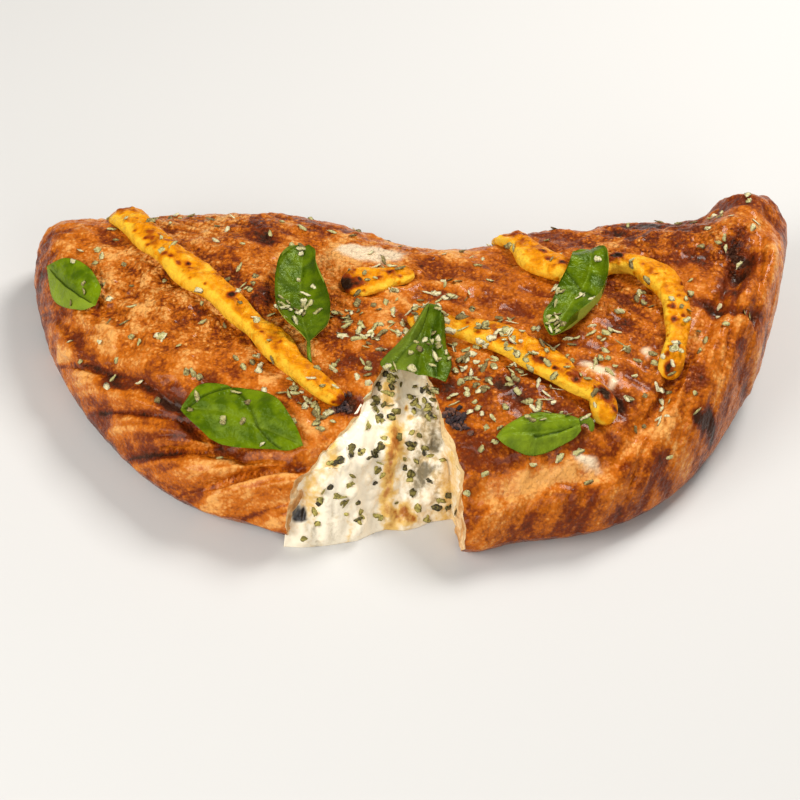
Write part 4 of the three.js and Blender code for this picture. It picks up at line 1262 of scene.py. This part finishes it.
def leaf_blade(leaf):
    """A leaf as a thin closed form over its midrib and half widths, its margin a little wavy. It bulges
    softly between the veins, which run from the midrib forward to the margin."""
    u, v = grid_shares(LEAF_COLUMNS, LEAF_ROWS)
    along, across = (1 - np.cos(np.pi * u)) / 2, 2 * v - 1
    route, direction, length = curve_through(leaf["midrib"], 200)
    stops = np.linspace(0, 1, len(route))
    mid_x, mid_y = (np.interp(along, stops, route[:, axis]) for axis in (0, 1))
    ahead_x, ahead_y = (np.interp(along, stops, direction[:, axis]) for axis in (0, 1))
    on_left = across > 0
    half = np.where(on_left, *(side_width(along, leaf[side], length) for side in ("left", "right")))
    stand = np.where(on_left, *leaf["standing"]) * smooth(0.02, 0.4, along) * (1 - smooth(0.85, 1, along))
    out = np.where(stand > 0, np.minimum(np.abs(across) / 0.8, 1), np.abs(across))
    wavy = 1 + 0.03 * np.sin(9 * along + 2 * np.sign(across)) * across**2
    side = np.sign(across) * out * half * wavy
    x, y = mid_x - ahead_y * side, mid_y + ahead_x * side
    fullness = np.minimum(half / 5, 1)
    lift = leaf["curl"] * (across**2 - (leaf["curl"] < 0)) + 0.5 * np.sin(9 * along) * across
    lift = lift + np.where(on_left, *leaf["sides"]) * np.abs(across)
    lift = lift + stand * np.maximum(np.abs(across) - 0.7, 0) / 0.3
    for at_u, at_v, wide_u, wide_v, height in leaf["humps"]:
        lift = lift + height * bell(along, at_u, wide_u) * bell(across, at_v, wide_v)
    phase = leaf["veins"] * (along - 0.28 * np.abs(side) ** 1.15 / length * 2)
    off_vein = np.abs(phase - np.round(phase)) * length / leaf["veins"]
    rib = bell(side, 0, 0.4) * smooth(0, 0.05, along)
    vein = bell(off_vein, 0, 0.3) * (1 - 0.8 * np.abs(across))
    crease = crease_depth(along, across, leaf["creases"], length)
    quilt = 0.55 * np.abs(np.sin(np.pi * phase)) * np.minimum(np.abs(across) * 5, 1) * (1 - across**4)
    lift = lift + quilt - 0.4 * bell(side, 0, 0.9) - 0.8 * crease
    z = LEAF_CLEARANCE + lift * fullness + leaf["lift"] * along**3
    z = bed_height(x, y) + np.maximum(z, 0.7)
    taper = np.sin(np.pi * u) * (1 - across**4)
    upper = np.stack([x, y, z], -1)
    lower = np.stack([x, y, z - LEAF_THICKNESS * taper], -1)
    veins = np.maximum(rib, 0.7 * vein).ravel()
    # Painted light: some leaves show the underside's pale green on the lit side of their top.
    pale = (np.where(on_left, *leaf["pale"]) * smooth(0.05, 0.2, np.abs(across)) + 0 * along).ravel()
    marks = {
        "vein": np.concatenate([veins, veins]),
        "under": np.concatenate([pale, 0 * veins + 1]),
        # Painted shade in the creases, and each leaf's deeper green.
        "crease": np.concatenate([np.maximum(crease, leaf["deep"]).ravel(), 0 * veins]),
    }
    return closed_sheets(upper, lower, marks)


def stalk_form(route, radius):
    """A stalk as a closed form along a route: half a circle above and half below, round at both ends."""
    stops = [(x, y, crust_height(x, y) + above) for x, y, above in route]
    centre, direction, length = curve_through(stops, STALK_COLUMNS + 1)
    u, v = grid_shares(STALK_COLUMNS, STALK_ROWS)
    angle = np.pi * v
    ends = np.sqrt(1 - np.abs(2 * u - 1) ** (length / radius))
    across, rise = -np.cos(angle) * radius * ends, np.sin(angle) * radius * ends
    x, y = centre[:, :1] - direction[:, 1:2] * across, centre[:, 1:2] + direction[:, :1] * across
    sheets = [np.stack([x, y, centre[:, 2:] + sign * rise], -1) for sign in (1, -1)]
    ones = np.ones(2 * across.size)
    return closed_sheets(*sheets, {"vein": 0.7 * ones, "under": 0.2 * ones, "crease": 0.4 * ones})


def basil():
    """Basil: deep green with paler veins, matt and pale underneath, with a soft shine on top, painted light
    in the underside's pale green on some tops and near black painted shade in its creases.
    """
    material, wire, shader, place_on = new_material(
        "basil", IOR=1.45, Specular_IOR_Level=0.2, Specular_Tint=(0.7, 1, 0.3, 1),
    )
    clouds = mottle(wire, place_on, size=0.006, detail=3.0, low=0.32, high=0.68)
    cells = mottle(wire, place_on, size=0.0014, detail=2.0, low=0.3, high=0.7)
    colour = wire.blend(clouds, LEAF_DARK, LEAF_LIGHT)
    # Paler veins; the underside's pale green, also painted light on some tops; the crease colour, painted
    # shade in the creases and the deeper green of some leaves and the stalks.
    layers = ("vein", 0.3, LEAF_VEIN), ("under", 0.95, LEAF_UNDERSIDE_AND_PAINTED_LIGHT), ("crease", 0.85, LEAF_DEEP_GREEN_AND_CREASE_SHADE)
    for name, share, layer_colour in layers:
        colour = wire.blend(wire.math("MULTIPLY", read_mark(wire, name), share), colour, layer_colour)
    roughness = wire.plus(0.27, read_mark(wire, "under"), 0.3)
    finish_surface(wire, shader, colour, cells, depth=0.00016, roughness=roughness)
    return material


def make_leaves():
    """The six basil leaves."""
    green = basil()
    made = []
    for node, leaf in LEAVES.items():
        points, triangles, marks = leaf_blade(leaf)
        if node in STALKS:
            more_points, more_triangles, more_marks = stalk_form(*STALKS[node])
            triangles = np.concatenate([triangles, more_triangles + len(points)])
            points = np.concatenate([points, more_points])
            marks = {key: np.concatenate([values, more_marks[key]]) for key, values in marks.items()}
        name = node.replace("basil_leaf", "fresh_basil")
        made.append(finish_piece(new_object(name, points, triangles, green, marks), "basil", node))
    return made


# ---- Dried herb flakes ----

# Bunches of flakes on the crust and the leaves: x, y, spread and how many.
BUNCHES = [
    (-45, -10, 5, 18), (-45, -53, 3.5, 10), (-60, -37, 4, 7), (-38, -55, 3, 6), (-35, -62, 3, 6),
    (-66, 2, 3, 6), (-28, -12, 6, 9), (-22, -15, 5, 9), (-15, -20, 6, 12), (-18, 8, 6, 6), (4, 6, 9, 10),
    (20, 25, 9, 9), (32, -10, 9, 10), (8, -36, 8, 18), (40, -30, 8, 24), (28, -34, 8, 21), (46, -47, 6, 13),
    (22, -47, 5, 12), (30, -55, 8, 9), (54, -12, 5, 18), (60, 10, 6, 6), (80, -20, 6, 7), (90, -40, 6, 9),
    (98, -35, 5, 7), (74, -10, 5, 9), (88, 15, 6, 7), (97, -25, 4, 7), (110, -5, 5, 4), (-13, -8, 7, 12),
    (0, -18, 8, 18), (-25, -42, 7, 9), (14, -24, 8, 18), (60, -54, 7, 7), (70, -30, 6, 6),
    (-90, -20, 14, 7), (-84, -44, 8, 4),
]

# Charred lumps of cheese beside the cut: x, y, spread and how many.
CHARRED_LUMPS = [(-26, -57, 1.8, 18), (16, -61, 1.8, 16), (18.5, -64, 1.2, 10), (13.5, -58, 1.2, 8)]

# Bunches on the filling: x, y, spread and how many.
WET_BUNCHES = [
    (-20, -72.5, 1.2, 5), (-13, -69.5, 1.6, 7), (-11.7, -73, 1.4, 6), (-21, -80.5, 1, 3),
    (-27, -84, 1.4, 4), (-17.5, -82, 0.7, 2), (-11, -79, 0.7, 2), (-23.5, -86, 1, 3), (-33, -88.5, 1.5, 4),
    (-16, -87.5, 1.2, 4), (-9.7, -84.5, 1.3, 4), (-6.7, -84, 1.3, 4), (-9.6, -44.5, 1.5, 5),
    (-10.8, -49, 1.5, 5), (-15, -52.5, 1.3, 4), (-17, -62.5, 0.9, 2), (-10.7, -56, 1.2, 4),
    (1.2, -65, 1.8, 6), (7.3, -64, 1.4, 3), (15.4, -72, 1, 3), (11, -75, 1.2, 4), (6.5, -76.5, 1.6, 5),
    (18, -75.5, 1, 3), (-37.3, -92, 1, 2), (-6.6, -55.6, 1, 3), (3, -51, 2, 6), (7.8, -55.6, 1.5, 4),
    (-26.5, -77, 1.6, 5), (3, -45, 3, 8), (0, -58, 2, 4),
]

# Flakes outside the bunches, and what they are spread between: x, y and shares of the way between the cuts.
SPREAD_FLAKES, FILLING_FLAKES, LOOSE_STALKS, HERB_SEED = 190, 30, 22, 7
SPREAD_X, EDGE_CLEARANCE, CUT_Y, CUT_SHARE = (-140, 135), 8, (-88, -38), (0.06, 0.94)
STALKS_ROUND = (20, -20), (45, 22)
DROP_HEIGHT = 150.0

# Each kind: its seed, and half its length, width and thickness at least and at most.
FLAKE_KINDS = {
    "oregano_flakes": (8, (0.9, 2.5), (0.7, 1.5), (0.2, 0.5)),
    "oregano_stalks": (9, (1.8, 3), (0.25, 0.4), (0.2, 0.3)),
    "wet_oregano": (10, (0.8, 2), (0.7, 1.5), (0.2, 0.45)),
    "charred_crumbs": (11, (0.8, 1.7), (0.7, 1.4), (0.6, 1.2)),
}
FLAKE_COLUMNS, FLAKE_ROWS = 6, 2
FLAKE_TILT, FLAKE_JITTER, FLAKE_RISE = 0.3, 0.2, 0.35

# Colours from pale to dark.
DRY_OREGANO = (0.76, 0.68, 0.4, 1), (0.5, 0.45, 0.17, 1), (0.2, 0.14, 0.04, 1)
WET_OREGANO = (0.5, 0.42, 0.1, 1), (0.2, 0.16, 0.03, 1), (0.04, 0.03, 0.012, 1)
CHARRED_CHEESE = (0.16, 0.06, 0.03, 1), (0.04, 0.015, 0.015, 1), (0.012, 0.006, 0.008, 1)


def drop_on(targets, places):
    """Where lines straight down at the given places first meet one of the targets, in loaf millimetres, with
    the normals there. Places that meet nothing are left out."""
    depsgraph = bpy.context.evaluated_depsgraph_get()
    trees = [BVHTree.FromObject(target, depsgraph) for target in targets]
    found = []
    for x, y in places:
        start = Vector(place(np.array((x, y, DROP_HEIGHT))))
        hits = [tree.ray_cast(start, Vector((0, 0, -1))) for tree in trees]
        hits = [hit for hit in hits if hit[0] is not None]
        if hits:
            where, normal, _, _ = min(hits, key=lambda hit: hit[3])
            found.append((*(np.array(where) / METRES - LOAF_TO_PART), *normal))
    found = np.array(found)
    return found[:, :3], found[:, 3:]


def flake_form(columns, rows):
    """A flat pointed grain of length 2, closed: an ellipse's outline drawn to points, a little bent, with as
    many columns and rows as given, and its triangles."""
    u, v = grid_shares(columns, rows)
    half = np.sin(np.pi * u) ** 0.7
    x = -np.cos(np.pi * u) + 0 * v
    y = -np.cos(np.pi * v) * half
    rise = np.sin(np.pi * v) * half
    bend = 0.35 * x**2
    points, triangles, _ = closed_sheets(np.stack([x, y, rise + bend], -1), np.stack([x, y, bend - rise], -1))
    return points, triangles


def strew(name, places, normals, material):
    """Many flakes as one mesh, each with a size drawn between its kind's limits, turned at random about the
    surface's normal, tilted a little and with its own tint from 0 to 1."""
    seed, *sizes = FLAKE_KINDS[name]
    draw = np.random.default_rng(seed)
    count = len(places)
    form, triangles = flake_form(FLAKE_COLUMNS, FLAKE_ROWS)
    upright = normals + draw.normal(0, FLAKE_TILT, (count, 3))
    upright /= np.linalg.norm(upright, axis=1, keepdims=True)
    turn = draw.uniform(0, 2 * np.pi, count)
    heading = np.stack([np.cos(turn), np.sin(turn), 0 * turn], 1)
    sideways = np.cross(upright, heading)
    sideways /= np.linalg.norm(sideways, axis=1, keepdims=True)
    heading = np.cross(sideways, upright)
    long, wide, thick = (draw.uniform(low, high, count) for low, high in sizes)
    axes = np.stack([heading * long[:, None], sideways * wide[:, None], upright * thick[:, None]], 1)
    jitter = 1 + draw.normal(0, FLAKE_JITTER, (count, len(form), 3))
    points = np.einsum("npk,nkd->npd", form[None] * jitter, axes) + (places + upright * FLAKE_RISE)[:, None]
    faces = triangles[None] + (np.arange(count) * len(form))[:, None, None]
    marks = {"tint": np.repeat(draw.uniform(0, 1, count), len(form))}
    flakes = new_object(name, points.reshape(-1, 3), faces.reshape(-1, 3), material, marks)
    return finish_piece(flakes, "herb")


def dried_herb(name, pale, middle, dark):
    """Dried oregano in three tints, from pale to dark, that differ from flake to flake."""
    material, wire, shader, place_on = new_material(name, Roughness=0.75)
    grain = mottle(wire, place_on, size=0.0008, detail=1.0, low=0.3, high=0.7)
    tint = wire.sway(read_mark(wire, "tint"), grain, 0.3)
    colour = wire.blend(wire.between(tint, 0.05, 0.5), pale, middle)
    colour = wire.blend(wire.between(tint, 0.55, 0.95), colour, dark)
    finish_surface(wire, shader, colour, grain, depth=0.0003)
    return material


def bunched(draw, bunches):
    """Places in plan, drawn round the middle of each bunch."""
    return np.concatenate([draw.normal((x, y), spread, (count, 2)) for x, y, spread, count in bunches])


def spread_evenly(draw):
    """Places in plan all over the loaf, clear of its edges."""
    x = draw.uniform(*SPREAD_X, SPREAD_FLAKES)
    share = draw.uniform(0, 1, SPREAD_FLAKES)
    front, back = edges_at(x)
    return np.stack([x, front + EDGE_CLEARANCE + (back - front - 2 * EDGE_CLEARANCE) * share], 1)


def spread_in_cut(draw):
    """Places in plan all over the filling that shows between the cuts."""
    y = draw.uniform(*CUT_Y, FILLING_FLAKES)
    share = draw.uniform(*CUT_SHARE, FILLING_FLAKES)
    return np.stack([cut_at(LEFT_CUT, y) * (1 - share) + cut_at(RIGHT_CUT, y) * share, y], 1)


def scatter_herbs(crust, filling, strands, leaves):
    """Dried oregano over the whole loaf, in bunches and spread evenly, darker where it lies on wet filling,
    and crumbs of charred cheese beside the cut."""
    draw = np.random.default_rng(HERB_SEED)
    dry = dried_herb("dry_oregano", *DRY_OREGANO)
    top = [crust, *strands, *leaves]
    flakes = np.concatenate([bunched(draw, BUNCHES), spread_evenly(draw)])
    strew("oregano_flakes", *drop_on(top, flakes), dry)
    strew("oregano_stalks", *drop_on(top, draw.normal(*STALKS_ROUND, (LOOSE_STALKS, 2))), dry)
    spread_out = spread_in_cut(draw)
    wet_flakes = np.concatenate([bunched(draw, WET_BUNCHES), spread_out])
    strew("wet_oregano", *drop_on([filling], wet_flakes), dried_herb("wet_oregano", *WET_OREGANO))
    crumbs = drop_on([crust], bunched(draw, CHARRED_LUMPS))
    strew("charred_crumbs", *crumbs, dried_herb("charred_cheese", *CHARRED_CHEESE))


# ---- Camera, light and floor ----

CAMERA_DISTANCE = 0.85
CAMERA_ELEVATION = math.radians(45.163)
CAMERA_ROLL = math.radians(4.086)
CAMERA_AIM = Vector((-0.001524, -0.00732, 0))
CAMERA_LENS, CAMERA_SENSOR = 94.505, 36

# Each light: its place, the side of its square, its power and its colour.
LIGHTS = {
    "key": ((0.45, 0.5, 0.85), 0.4, 11, (1, 0.98, 0.95)),
    "fill": ((-0.7, -0.55, 0.65), 0.7, 10, (1, 0.99, 0.97)),
    "front": ((0.45, -0.9, 0.6), 0.6, 3.5, (1, 1, 1)),
}
SKY_COLOUR, SKY_STRENGTH = (1, 0.98, 0.95, 1), 0.22
FLOOR_COLOUR, FLOOR_ROUGHNESS, FLOOR_REACH = (0.62, 0.61, 0.59, 1), 0.9, 3.0


def make_camera():
    """The camera, aimed near the loaf's middle from the front and above, turned a little on its axis."""
    data = bpy.data.cameras.new("camera")
    data.lens = CAMERA_LENS
    data.sensor_width = CAMERA_SENSOR
    camera = link_object("camera", data)
    back = Vector((0, -math.cos(CAMERA_ELEVATION), math.sin(CAMERA_ELEVATION)))
    camera.location = CAMERA_AIM + back * CAMERA_DISTANCE
    upright = back.to_track_quat("Z", "Y").to_matrix()
    camera.rotation_euler = (upright @ Matrix.Rotation(CAMERA_ROLL, 3, "Z")).to_euler()
    bpy.context.scene.camera = camera


def make_light(name, place_at, size, power, colour):
    """A square area light aimed at the loaf."""
    data = bpy.data.lights.new(name, "AREA")
    data.size = size
    data.energy = power
    data.color = colour
    light = link_object(name, data)
    light.location = place_at
    light.rotation_euler = Vector(place_at).to_track_quat("Z", "Y").to_euler()


def make_studio():
    """A pale floor, a key light from behind on the right, softer ones from the front and a dim sky."""
    paint, *_ = new_material("floor", Base_Color=FLOOR_COLOUR, Roughness=FLOOR_ROUGHNESS)
    mesh = bpy.data.meshes.new("floor")
    corners = [(x * FLOOR_REACH, y * FLOOR_REACH, 0) for x, y in ((-1, -1), (1, -1), (1, 1), (-1, 1))]
    mesh.from_pydata(corners, [], [(0, 1, 2, 3)])
    mesh.materials.append(paint)
    floor = link_object("floor", mesh)
    for name, settings in LIGHTS.items():
        make_light(name, *settings)
    world = bpy.data.worlds.new("studio")
    world.use_nodes = True
    background = world.node_tree.nodes["Background"]
    background.inputs["Color"].default_value = SKY_COLOUR
    background.inputs["Strength"].default_value = SKY_STRENGTH
    bpy.context.scene.world = world
    bpy.context.scene.view_settings.view_transform = "Standard"


make_camera()
make_studio()
crust = make_crust()
filling = make_filling()
strands = make_strands()
leaves = make_leaves()
scatter_herbs(crust, filling, strands, leaves)
